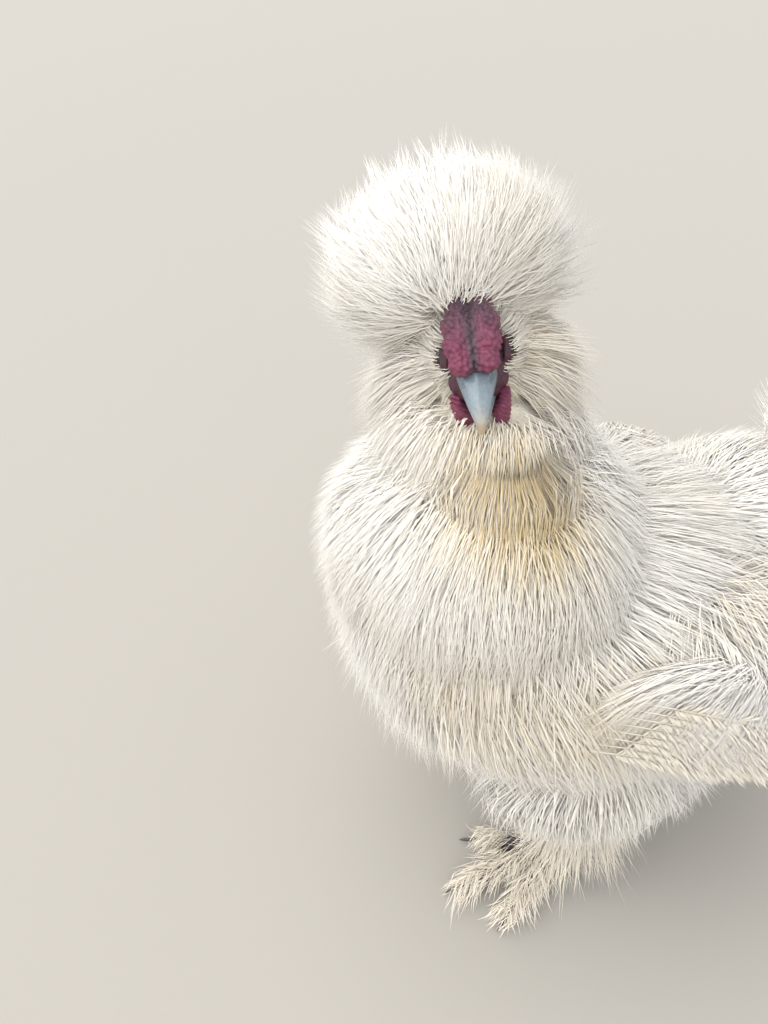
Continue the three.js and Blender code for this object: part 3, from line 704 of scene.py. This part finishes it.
# The coat: fine three-sided locks of silky barbs, gathered in wisps, whose lie follows each mass
lockForms = {  # where a lock's rings stand from its pointed root to its tip, and their share of the width
    "long": ([0.0, 0.3, 0.68, 1.0], [0.85, 0.75]),
    "short": ([0.0, 0.45, 1.0], [1.0]),
}
section = np.array([(-0.5, -0.18), (0.5, -0.18), (0.0, 0.27)])  # shares of a lock's width and height
mostHeight = 0.7 * mm  # a broad lock stays flat
patch = 0.003  # of the unwrap, for one lock
softness = 0.88  # how far the shading of a lock follows the coat's surface rather than the lock's own


def lockMesh(name, form, paths, faces, widths, cream, chance, unwrap):
    # paths (n, levels, 3) in the model's metres, faces the upper side there, widths in metres
    levels, shares = (np.array(row) for row in lockForms[form])
    count, ringCount = len(paths), len(shares)
    size = 3 * ringCount + 2
    along = np.gradient(paths, axis=1)
    along /= np.linalg.norm(along, axis=-1, keepdims=True) + 1e-12
    side = np.cross(faces, along)
    side /= np.linalg.norm(side, axis=-1, keepdims=True) + 1e-12
    over = np.cross(along, side)
    heights = np.minimum(widths, mostHeight)
    offsets = (side[:, 1:-1, None, :] * section[None, None, :, :1] * widths[:, None, None, None]
               + over[:, 1:-1, None, :] * section[None, None, :, 1:] * heights[:, None, None, None])
    body = paths[:, 1:-1, None, :] + offsets * shares[None, :, None, None]
    points = np.concatenate([paths[:, :1], body.reshape(count, -1, 3), paths[:, -1:]], axis=1)
    corners = [(2, 1, 0), (3, 2, 0), (1, 3, 0)]
    for ring in range(ringCount - 1):
        for k in range(3):
            a, b = ring * 3 + k + 1, ring * 3 + (k + 1) % 3 + 1
            corners += [(a, b, b + 3), (a, b + 3, a + 3)]
    last = size - 4
    corners += [(last, last + 1, size - 1), (last + 1, last + 2, size - 1), (last + 2, last, size - 1)]
    faceList = (np.array(corners)[None] + (np.arange(count) * size)[:, None, None]).reshape(-1, 3)
    mesh = bpy.data.meshes.new(name)
    mesh.vertices.add(count * size)
    mesh.vertices.foreach_set("co", points.astype(np.float32).ravel())
    mesh.loops.add(len(faceList) * 3)
    mesh.loops.foreach_set("vertex_index", faceList.astype(np.int32).ravel())
    mesh.polygons.add(len(faceList))
    mesh.polygons.foreach_set("loop_start", np.arange(0, len(faceList) * 3, 3, dtype=np.int32))
    mesh.update(calc_edges=True)

    def perPoint(values):
        return np.concatenate([values[:, :1], np.repeat(values[:, 1:-1], 3, axis=1), values[:, -1:]], axis=1)

    level = perPoint(np.tile(levels, (count, 1)))
    tone = np.stack([perPoint(cream), level, np.repeat(chance[:, None], size, axis=1)], -1)
    layer = mesh.attributes.new("coatTone", "FLOAT_VECTOR", "POINT")
    layer.data.foreach_set("vector", tone.astype(np.float32).ravel())
    across = np.array([1] + [0, 2, 1] * ringCount + [1]) / 2 * patch
    spread = np.stack([unwrap[:, None, 0] + across[None], unwrap[:, None, 1] + level * patch], -1)
    uv = mesh.uv_layers.new(name="OFBake")
    uv.data.foreach_set("uv", spread.reshape(-1, 2)[faceList.ravel()].astype(np.float32).ravel())
    mesh.polygons.foreach_set("use_smooth", np.ones(len(faceList), dtype=bool))
    own = np.empty(count * size * 3, dtype=np.float32)
    mesh.vertex_normals.foreach_get("vector", own)
    lie = perPoint(faces).reshape(-1, 3)
    soft = (1 - softness) * own.reshape(-1, 3) + softness * lie
    mesh.normals_split_custom_set_from_vertices(soft / np.linalg.norm(soft, axis=1, keepdims=True))
    thing = bpy.data.objects.new(name, mesh)
    bpy.context.collection.objects.link(thing)
    return thing


creamLook = {"all": 0.05, "patches": 0.14, "grain": 28, "seed": 5}
strawAndShadeSpots = [  # middle, radius, amount: where the coat is straw or cream, and where painted shade makes it cream under the breast and on the flank
    ((20, -38, 238), 24, 0.6),
    ((36, -32, 222), 20, 0.65),
    # painted shade: cream under the breast and on the flank stands in for the shade there
    ((56, -62, 168), 30, 0.35),
    ((82, -22, 158), 26, 0.4),
    ((-8, -36, 270), 24, 0.2),
]


def strawAndShadeAt(points):
    own = seenFrom(points, bodyFrame)
    amount = np.full(own.shape[:-1], creamLook["all"])
    # each spot adds cream: straw on the neck, painted shade under the breast and on the flank
    for middle, radius, share in strawAndShadeSpots:
        amount += share * np.exp(-np.sum((own - np.array(middle)) ** 2, -1) / radius ** 2)
    return np.clip(amount, 0, 1)


def field(points, grain, rng):
    # a smooth value from about -1 to 1 that changes over `grain` millimetres, for tufts of the coat
    total = np.zeros(points.shape[:-1])
    for _ in range(7):
        way = rng.normal(0, 1, 3)
        total += np.sin(points @ way * (2.6 / grain) + rng.uniform(0, 6.3))
    return total / 2.6


def unit(rows):
    return rows / (np.linalg.norm(rows, axis=-1, keepdims=True) + 1e-12)


# A coat grows on its mass between the angles "from" and "to" off the pole, its locks start at the
# depth "core", lean over by "sweep" degrees, and stand in wisps as wide as "wisp". Lengths are
# millimetres, and depths are shares of the way from the mass's middle to its outline.
coatUsual = {
    "form": "short", "perWisp": 8, "gather": (0.1, 0.6),  # how far a wisp's locks come together
    "down": 3.2, "under": 0.11,  # how much wider and deeper the down lock of each wisp is
    "frizz": 0.8, "tuft": 1.0, "swirl": 0.1,
    "away": None, "along": (0, 0, 0),  # the lie: away from a point and along a way
    "lying": 1.0,  # 0 stands straight out, 1 bends over to lie on the outline
    "tip": 0, "reach": 0.02, "ragged": 0.035, "most": 1.04,  # where the tips end, and how unevenly
    "droop": 0, "cream": 0, "stands": (),
    "face": None, "nearFace": False, "buried": True, "where": None,  # which locks are left out
}
tufts = {"sweep": (0.22, 26), "turn": (0.2, 30), "tip": (0.035, 20)}  # share of each, and grain
rootDepth = 0.08  # how far below the core a lock starts


def wisps(spec):
    # the paths of all locks of one coat
    rng = np.random.default_rng(spec["seed"])
    mass = masses[spec["mass"]]
    radii = np.array(mass["radii"])
    per = spec["perWisp"]
    count = spec["locks"] // per
    first, last = spec["from"] * deg, spec["to"] * deg
    t = np.arccos(rng.uniform(math.cos(last), math.cos(first), count))
    phi = rng.uniform(0, 2 * math.pi, count)
    ways = massWays(mass, t, phi)
    roots = massPoints(mass, ways, np.ones(count))

    def tufted(part):
        share, grain = tufts[part]
        return share * spec["tuft"] * field(roots, grain, rng)

    sweep = spec["sweep"] * deg * rng.uniform(0.8, 1.2, count) * (1 + tufted("sweep"))
    turn = rng.normal(0, spec["swirl"], count) + tufted("turn")
    tip = 1 + spec["tip"] + rng.normal(0, spec["reach"], count) + tufted("tip")
    low, high = spec["gather"]
    gather = np.repeat(rng.uniform(low, high, count), per)[:, None]
    if spec["away"]:
        lie = unit(roots - np.array(spec["away"])) + np.array(spec["along"])
    else:
        lie = np.repeat(-np.array([mass["pole"]], float), count, axis=0)
    lie = lie / radii
    lie = unit(lie - np.sum(lie * ways, -1, keepdims=True) * ways)
    lie = unit(lie * np.cos(turn)[:, None] + np.cross(ways, lie) * np.sin(turn)[:, None])
    stray = rng.normal(0, 1, (count * per, 3)) * spec["wisp"] / radii
    ways, lie, sweep, tip, t, phi = (np.repeat(value, per, axis=0)
                                     for value in (ways, lie, sweep, tip, t, phi))
    sweep = sweep * rng.uniform(0.75, 1.15, count * per)
    tip = tip + rng.normal(-0.03, spec["ragged"], count * per)
    tip = np.minimum(tip, spec["most"])
    down = np.arange(count * per) % per == 0  # one lock of each wisp is broad and lies under the others
    tip = tip - np.where(down, spec["under"], 0)
    start = spec["core"] - rootDepth
    levels = np.array(lockForms[spec["form"]][0])
    places = []
    for s in levels:
        angle = (sweep * s)[:, None]
        now = unit(np.cos(angle) * ways + np.sin(angle) * lie + stray * (1 - gather * s ** 1.3))
        rise = (1 - spec["lying"]) * s + spec["lying"] * math.sin(s * math.pi / 2) ** 0.9
        places.append(massPoints(mass, now, start + (tip - start) * rise))
    paths = np.stack(places, 1)
    paths += rng.normal(0, 1, paths.shape) * (levels * spec["frizz"])[None, :, None]
    face = (paths - np.array(mass["centre"])) / radii ** 2
    paths = placed(paths, mass["at"])
    face = unit(face @ np.array(mass["at"])[:3, :3].T)
    paths[:, :, 2] -= spec["droop"] * mm * levels[None, :] ** 2
    unwrap = np.stack([(phi / (2 * math.pi) + rng.uniform(0, 0.01, len(phi))) % 1, t / math.pi], -1)
    unwrap = unwrap * (1 - 2 * patch) + patch / 2
    widths = spec["width"] * mm * rng.uniform(0.7, 1.25, len(paths)) * np.where(down, spec["down"], 1)
    return paths, face, widths, unwrap, rng.random(len(paths))


def kept(spec, paths, chance):
    # leaves out what goes into the floor, what another coat buries, and what would cross the face
    mass = masses[spec["mass"]]
    keep = paths[:, :, 2].min(1) > 0.4 * mm
    for other in masses.values():
        if other is not mass and "thick" in other and spec["buried"]:
            keep &= (massDepth(other, paths[:, 1:]) > other["thick"]).any(1)
    if spec["face"]:
        keep &= faceDepth(paths).min(1) > spec["face"] + 0.12 * (chance - 0.5)
    if spec["where"]:
        keep &= spec["where"](seenFrom(paths[:, 0], mass["at"]))
    if spec["nearFace"]:
        keep &= partDepth(paths).min(1) > 1 + 0.1 * (chance - 0.5)
    return keep


def grown(coat):
    spec = {**coatUsual, **coat}
    parts = wisps(spec)
    keep = kept(spec, parts[0], parts[-1])
    paths, face, widths, unwrap, chance = (value[keep] for value in parts)
    rng = np.random.default_rng(creamLook["seed"])
    patches = creamLook["patches"] * np.clip(field(paths[:, :1] / mm, creamLook["grain"], rng), 0, 2)
    cream = (strawAndShadeAt(paths) + patches + spec["cream"]) * (0.4 + 1.2 * chance[:, None])
    thing = lockMesh(spec["name"], spec["form"], paths, face, widths, np.clip(cream, 0, 1), chance, unwrap)
    finished(thing, spec["name"], "plumage", "plumage", *spec["stands"])
    print(spec["name"], len(paths), "locks")


def bibRoots(own):
    return own[:, 2] < 249


def flankRoots(own):
    # leaves the folded wing's lower edge free
    return own[:, 2] + 0.9 * own[:, 1] > 158


def wingRoots(own):
    # leaves the tips of the flights free
    return own[:, 1] + 1.05 * own[:, 2] > -26


coats = [
    {"name": "crest_coat", "mass": "crest", "stands": ["crest"], "form": "long", "core": 0.5,
     "from": 22, "to": 128, "sweep": 44, "locks": 14500, "wisp": 4.0, "gather": (0.2, 0.9),
     "width": 0.4, "down": 2, "under": 0.14, "frizz": 0.5, "away": (0, -40, -6),
     "along": (0, 0.1, 0.15), "lying": 0.35, "reach": 0.07, "ragged": 0.07, "most": 1.2, "cream": 0.02,
     "face": 0.9, "nearFace": True, "seed": 1},
    {"name": "crest_spikes", "mass": "crest", "form": "long", "core": 0.5, "from": 40, "to": 150,
     "sweep": 30, "locks": 2800, "perWisp": 14, "wisp": 3.0, "gather": (0.8, 0.97), "width": 0.5,
     "frizz": 0.5, "away": (0, -40, -6), "along": (0, 0.1, 0.15), "lying": 0.2, "tip": 0.12,
     "reach": 0.09, "ragged": 0.05, "most": 1.3, "face": 1.3, "nearFace": True, "seed": 22},
    {"name": "crest_tip", "mass": "crest_tip", "form": "long", "core": 0.5, "from": 0, "to": 4,
     "sweep": 4, "locks": 24, "perWisp": 12, "wisp": 1.0, "gather": (0.95, 0.97), "width": 0.4,
     "frizz": 0.2, "tuft": 0, "lying": 0.0, "tip": 0.26, "reach": 0.02, "most": 1.36, "seed": 23},
    {"name": "crest_underfur", "mass": "crest", "core": 0.5, "from": 24, "to": 150, "sweep": 40,
     "locks": 7500, "wisp": 4.0, "gather": (0.1, 0.6), "width": 0.5, "down": 2.5, "frizz": 0.5,
     "away": (0, -40, -6), "lying": 0.6, "most": 0.98, "cream": 0.05, "face": 0.9, "nearFace": True,
     "seed": 21},
    {"name": "brow_coat", "mass": "brow", "core": 0.66, "from": 16, "to": 100, "sweep": 44,
     "locks": 8000, "wisp": 1.6, "width": 0.34, "down": 2, "frizz": 0.3, "tuft": 0.4, "lying": 0.8,
     "nearFace": True, "buried": False, "seed": 30},
    {"name": "chin_coat", "mass": "chin", "core": 0.66, "from": 40, "to": 110, "sweep": 50,
     "locks": 7000, "wisp": 1.8, "width": 0.36, "down": 2, "frizz": 0.3, "tuft": 0.4, "lying": 0.5,
     "droop": 6, "nearFace": True, "buried": False, "seed": 31},
    {"name": "beard_coat", "mass": "beard", "stands": ["beard"], "core": 0.5, "from": 22, "to": 120,
     "sweep": 46, "locks": 22000, "wisp": 3.0, "gather": (0.1, 0.8), "width": 0.36, "frizz": 0.4,
     "away": (0, -34, 6), "along": (0, 0, -0.6), "lying": 0.4, "reach": 0.05, "ragged": 0.08,
     "most": 1.2, "droop": 14, "cream": 0.04, "face": 0.9, "nearFace": True, "seed": 2},
    {"name": "hackle_coat", "mass": "neck", "core": 0.66, "from": 20, "to": 118, "sweep": 54,
     "locks": 30000, "wisp": 4.0, "width": 0.38, "frizz": 0.45, "reach": 0.04, "ragged": 0.06,
     "most": 1.12, "cream": 0.05, "face": 0.9, "nearFace": True, "seed": 3},
    {"name": "collar_coat", "mass": "collar", "core": 0.72, "from": 45, "to": 112, "sweep": 44,
     "locks": 14000, "wisp": 5.0, "gather": (0.0, 0.6), "width": 0.5, "frizz": 0.45, "reach": 0.05,
     "ragged": 0.07, "most": 1.08, "face": 0.9, "seed": 40},
    {"name": "bib_coat", "mass": "bib", "core": 0.66, "from": 0, "to": 112, "sweep": 58,
     "locks": 22000, "wisp": 3.5, "gather": (0.2, 0.8), "width": 0.34, "frizz": 0.4, "reach": 0.06,
     "ragged": 0.08, "most": 1.1, "droop": 6, "cream": 0.14, "nearFace": True, "where": bibRoots,
     "seed": 41},
    {"name": "breast_coat", "mass": "breast", "core": 0.75, "from": 18, "to": 118, "sweep": 44,
     "locks": 40000, "wisp": 5.0, "gather": (0.0, 0.6), "width": 0.42, "frizz": 0.45, "reach": 0.03,
     "ragged": 0.05, "most": 1.05, "face": 0.9, "seed": 4},
    {"name": "apron_coat", "mass": "apron", "core": 0.78, "from": 58, "to": 138, "sweep": 42,
     "locks": 34000, "wisp": 5.5, "gather": (0.0, 0.6), "width": 0.44, "frizz": 0.45, "reach": 0.03,
     "ragged": 0.05, "most": 1.04, "droop": 6, "seed": 42},
    {"name": "saddle_coat", "mass": "body", "core": 0.76, "from": 0, "to": 104, "sweep": 40,
     "locks": 29000, "wisp": 5.5, "gather": (0.0, 0.6), "width": 0.55, "frizz": 0.45,
     "away": (-10, -70, 225), "along": (0, 0.2, -0.5), "reach": 0.03, "ragged": 0.05, "most": 1.08,
     "seed": 5},
    {"name": "rump_coat", "mass": "rump", "core": 0.72, "from": 0, "to": 112, "sweep": 40,
     "locks": 12000, "wisp": 5.5, "gather": (0.0, 0.6), "width": 0.7, "frizz": 0.45,
     "away": (0, -40, 220), "along": (0, 0.4, -0.4), "reach": 0.03, "ragged": 0.05, "most": 1.08,
     "seed": 8},
    {"name": "belly_coat", "mass": "body", "core": 0.76, "from": 96, "to": 152, "sweep": 34,
     "locks": 10000, "wisp": 5.5, "gather": (0.0, 0.5), "width": 0.8, "frizz": 0.45,
     "away": (0, -20, 190), "along": (0, 0.1, -0.8), "cream": 0.04, "seed": 6},
    {"name": "tail_coat", "mass": "tail", "core": 0.45, "from": 16, "to": 128, "sweep": 42,
     "locks": 9500, "wisp": 5.0, "gather": (0.1, 0.6), "width": 0.8, "frizz": 0.7,
     "away": (0, 90, 195), "along": (0, 0.4, 0.1), "lying": 0.6, "reach": 0.05, "ragged": 0.08,
     "most": 1.14, "seed": 7},
]
for word, side in sides.items():
    coats += [
        {"name": "thigh_coat_" + word, "mass": "thigh_" + word, "core": 0.68, "from": 50, "to": 140,
         "sweep": 40, "locks": 11500, "wisp": 5.0, "width": 0.46, "frizz": 0.5,
         "away": (side * 20, 0, 150), "along": (0, 0, -0.4), "reach": 0.05, "ragged": 0.08,
         "most": 1.14, "cream": 0.03, "seed": 10 + side},
        {"name": "flank_coat_" + word, "mass": "flank_" + word, "core": 0.72, "from": 0, "to": 128,
         "sweep": 56, "locks": 17500, "wisp": 5.5, "gather": (0.0, 0.6), "width": 0.46, "frizz": 0.5,
         "away": (0, -40, 400), "along": (0, 0.15, -1.2), "reach": 0.05, "ragged": 0.06, "most": 1.06,
         "droop": 14, "where": flankRoots, "seed": 50 + side},
        {"name": "wing_coat_" + word, "mass": "cape_" + word, "core": 0.6, "from": 0, "to": 112,
         "sweep": 56, "locks": 12000, "wisp": 4.0, "width": 0.42, "frizz": 0.5, "tuft": 0.1,
         "swirl": 0.0, "away": (0, -20, 300), "along": (0, 0, -1), "lying": 0.8, "reach": 0.04,
         "ragged": 0.06, "most": 1.1, "droop": 8, "where": wingRoots, "seed": 14 + side},
    ]
for spec in coats:
    grown(spec)
print("coat grown")


# Flight and tail feathers: a pale shaft with loose barbs on both sides, as a silkie's are
barbLook = {"first": 0.12, "slant": (1.6, 2.6), "fall": (0.0, 0.5), "curl": 0.12,
            "width": (0.7, 1.2), "shaft": 1.5}


def frayedFeather(root, tip, upside, width, bend, barbs, rng):
    # strands of one feather, in its frame's millimetres: the shaft first, then its barbs
    root, tip, upside = (np.array(value, float) for value in (root, tip, upside))
    way = tip - root
    length = np.linalg.norm(way)
    way /= length
    across = np.cross(way, upside)
    across /= np.linalg.norm(across)
    over = np.cross(across, way)
    levels = np.array(lockForms["short"][0])

    def shaft(s):
        s = np.asarray(s, float)[..., None]
        return root + way * length * s + over * bend * np.sin(np.pi * s)

    lines = [shaft(levels)]
    widths = [barbLook["shaft"]]
    for edge in (-1, 1):
        for k in range(barbs):
            first = barbLook["first"]
            share = first + (1 - first) * (k + rng.uniform(-0.4, 0.4)) / barbs
            reach = width * 0.5 * min(1.0, 3.2 * (1.06 - share)) * min(1.0, share * 3) * rng.uniform(0.8, 1.2)
            start = shaft(min(share, 1.0))
            out = across * edge * reach + way * reach * rng.uniform(*barbLook["slant"])
            out = out - over * reach * rng.uniform(*barbLook["fall"])
            curl = over * reach * rng.normal(0, barbLook["curl"])
            lines.append(np.stack([start + out * s + curl * math.sin(math.pi * s) for s in levels]))
            widths.append(rng.uniform(*barbLook["width"]))
    return np.stack(lines), np.array(widths), np.repeat(over[None], len(lines), axis=0)


def featherPiece(name, feathers, place, cream, seed):
    rng = np.random.default_rng(seed)
    made = [frayedFeather(*feather, rng) for feather in feathers]
    paths = placed(np.concatenate([lines for lines, _, _ in made]), place)
    widths = np.concatenate([wide for _, wide, _ in made]) * mm
    face = np.concatenate([np.repeat(over[:, None], 3, axis=1) for _, _, over in made])
    face = face @ np.array(place)[:3, :3].T
    face /= np.linalg.norm(face, axis=-1, keepdims=True)
    box = paths.reshape(-1, 3)
    low, high = box.min(0), box.max(0)
    unwrap = ((paths[:, 0] - low) / (high - low))[:, 1:] * (1 - 2 * patch) + patch / 2
    tone = np.full(paths.shape[:2], cream)
    thing = lockMesh(name, "short", paths, face, widths, tone, rng.random(len(paths)), unwrap)
    finished(thing, name, "plumage", "plumage")
    print(name, len(paths), "barbs")


flights = {"count": 8, "width": 17, "bend": 5, "barbs": 150, "cream": 0.3}
for word, side in sides.items():
    feathers = []
    for k in range(flights["count"]):
        share = k / (flights["count"] - 1)
        root = (side * 9, -76 + 10 * share, -15 + 27 * share)
        tip = (side * (9 + 2 * share), 62 + 16 * share, -28 + 25 * share)
        feathers.append((root, tip, (side, 0, 0.42), flights["width"], flights["bend"], flights["barbs"]))
    featherPiece("flights_" + word, feathers, wingFrame(side), flights["cream"], 60 + side)

tailFan = {  # rows: count, spread, rise, length, height
    "rows": [(6, 36, 14, 84, -8), (5, 26, 30, 80, 2)], "root": (40, 122, 198),
    "width": 19, "bend": 8, "barbs": 150, "cream": 0.06,
}
feathers = []
for count, spread, rise, length, height in tailFan["rows"]:
    for k in range(count):
        share = k / (count - 1) - 0.5
        across, lift = 2 * share * spread * deg, rise * deg * (1 - 1.1 * abs(share))
        way = np.array((math.sin(across) * math.cos(lift), math.cos(across) * math.cos(lift), math.sin(lift)))
        wide, back, high = tailFan["root"]
        root = np.array((share * wide, back, high + height - abs(share) * 12))
        feathers.append((root, root + way * length - (0, 0, 8), (share * 2.4, -0.35, 1), tailFan["width"],
                         tailFan["bend"], tailFan["barbs"]))
featherPiece("tail_vanes", feathers, bodyFrame, tailFan["cream"], 70)

# Leg feathers: frayed strands that fan out from the shank and the outer toes to the ground
legCoat = {
    "wisps": 120, "perWisp": 24, "heights": (20, 72), "reach": (24, 46),
    "toes": ("middle", "middle", "outer", "outer", "outer", "inner"), "toeWisps": 105,
    "toeReach": (6, 15), "toeAim": (-40, 60), "spread": 2.6, "stray": 0.16, "lowest": 1.2,
    "width": 0.4, "cream": 0.35,
}


def shankWisps(word, rng):
    # root, way out and drop of each wisp of the shank, most of them on its front and outside
    side = sides[word]
    x, y = legs["feet"][word]
    hip = side * legs["hip"]
    line = np.array([(hip, y + 22, legs["hock"]), ((hip + x) / 2, y + 12, 44), (x, y, legs["ankle"])])
    made = []
    for _ in range(legCoat["wisps"]):
        height = rng.uniform(*legCoat["heights"])
        root = np.array([np.interp(height, line[::-1, 2], line[::-1, k]) for k in range(3)])
        around = rng.uniform(-115, 75) * deg if rng.random() < 0.8 else rng.uniform(75, 245) * deg
        out = np.array((side * math.cos(around), math.sin(around), 0))
        reach = rng.uniform(*legCoat["reach"]) * (0.6 if height < 30 else 1)
        made.append((root + out * 4, out * reach * 0.62, min(reach, height - 2.5)))
    return made


def toeWisps(word, rng):
    side = sides[word]
    made = []
    for _ in range(legCoat["toeWisps"]):
        toe = legCoat["toes"][rng.integers(len(legCoat["toes"]))]
        root = np.array(toeStations(word, toe)(rng.uniform(0.05, 1.12), 8))
        aim = (toes[toe][0] + rng.uniform(*legCoat["toeAim"])) * deg
        out = np.array((side * math.sin(aim), -math.cos(aim), 0))
        made.append((root, out * rng.uniform(*legCoat["toeReach"]), root[2] - rng.uniform(1.5, 3)))
    return made


def legFeathers(word):
    rng = np.random.default_rng(80 + sides[word])
    levels = np.array(lockForms["long"][0])
    lines, faces = [], []
    for start, way, drop in shankWisps(word, rng) + toeWisps(word, rng):
        fall = np.array((0, 0, drop))
        for _ in range(legCoat["perWisp"]):
            offset = rng.normal(0, legCoat["spread"], 3)
            stray = rng.normal(0, legCoat["stray"], 3) * np.linalg.norm(way)
            longer = rng.uniform(0.7, 1.1)
            lines.append([start + offset * (1 - 0.1 * s) + (way + stray * s) * s * longer - fall * s ** 1.4
                          for s in levels])
            faces.append((way[0], way[1], 10))
    paths = placed(np.array(lines), bodyFrame)
    paths[:, :, 2] = np.maximum(paths[:, :, 2], legCoat["lowest"] * mm)
    face = np.repeat(np.array(faces)[:, None], len(levels), axis=1)
    face /= np.linalg.norm(face, axis=-1, keepdims=True)
    widths = legCoat["width"] * mm * rng.uniform(0.6, 1.3, len(paths))
    own = seenFrom(paths[:, 0], bodyFrame) - np.array((*legs["feet"][word], 0))
    around = (np.arctan2(own[:, 1], own[:, 0]) / (2 * math.pi)) % 1
    unwrap = np.stack([around, np.clip(own[:, 2] / 80, 0, 1)], -1) * (1 - 2 * patch) + patch / 2
    cream = np.full(paths.shape[:2], legCoat["cream"])
    name = "leg_coat_" + word
    thing = lockMesh(name, "long", paths, face, widths, cream, rng.random(len(paths)), unwrap)
    finished(thing, name, "plumage", "plumage")
    print(name, len(paths), "locks")


for word in sides:
    legFeathers(word)

# Stage: a pale floor, soft light, and the camera at the photograph's place
stageLook = {"floor": "aaa59d", "floorSize": 60.0, "sky": (0.95, 0.97, 1.0, 1), "skyStrength": 1.02}
bpy.ops.object.select_all(action="DESELECT")
bpy.ops.mesh.primitive_plane_add(size=stageLook["floorSize"])
floor = bpy.context.object
floor.name = "floor"
floorMaterial, floorTree, floorShader = newMaterial("pale floor", Roughness=0.9)
floorShader.inputs["Base Color"].default_value = linear(stageLook["floor"])
floor.data.materials.append(floorMaterial)

lights = {  # way it comes from, strength, how wide the source is in degrees, colour
    "window": {"from": (-0.35, -0.5, 1.0), "strength": 2.4, "wide": 80, "colour": (1.0, 0.98, 0.95)},
    "fill": {"from": (1.0, -0.7, 0.35), "strength": 1.5, "wide": 90, "colour": (0.96, 0.98, 1.0)},
}
for name, lamp in lights.items():
    data = bpy.data.lights.new(name, "SUN")
    data.energy = lamp["strength"]
    data.angle = lamp["wide"] * deg
    data.color = lamp["colour"]
    light = bpy.data.objects.new(name, data)
    bpy.context.collection.objects.link(light)
    light.location = Vector(lamp["from"]).normalized() * 2
    light.rotation_euler = (-Vector(lamp["from"])).to_track_quat("-Z", "Y").to_euler()
world = bpy.data.worlds.new("studio")
world.use_nodes = True
world.node_tree.nodes["Background"].inputs["Color"].default_value = stageLook["sky"]
world.node_tree.nodes["Background"].inputs["Strength"].default_value = stageLook["skyStrength"]
bpy.context.scene.world = world
bpy.context.scene.view_settings.view_transform = "Standard"  # whites stay white and the comb its own red

cameraPose = {"place": (226.5, -140.4, 420), "azimuth": 75, "down": 40, "roll": -3, "lens": 27.04}


def setCamera():
    a, p, r = (cameraPose[k] * deg for k in ("azimuth", "down", "roll"))
    right = Vector((math.cos(a), math.sin(a), 0))
    ahead = Vector((-math.sin(a), math.cos(a), 0))
    look = math.cos(p) * ahead - math.sin(p) * up
    above = math.sin(p) * ahead + math.cos(p) * up
    x = math.cos(r) * right + math.sin(r) * above
    y = -math.sin(r) * right + math.cos(r) * above
    data = bpy.data.cameras.new("camera")
    data.sensor_fit = "VERTICAL"
    data.sensor_height = 36
    data.lens = cameraPose["lens"]
    data.clip_start = 0.01
    camera = bpy.data.objects.new("camera", data)
    bpy.context.collection.objects.link(camera)
    turn = Matrix((x, y, -look)).transposed().to_4x4()
    camera.matrix_world = Matrix.Translation(bodyFrame @ Vector(cameraPose["place"])) @ turn
    bpy.context.scene.camera = camera


setCamera()
print("stage set")
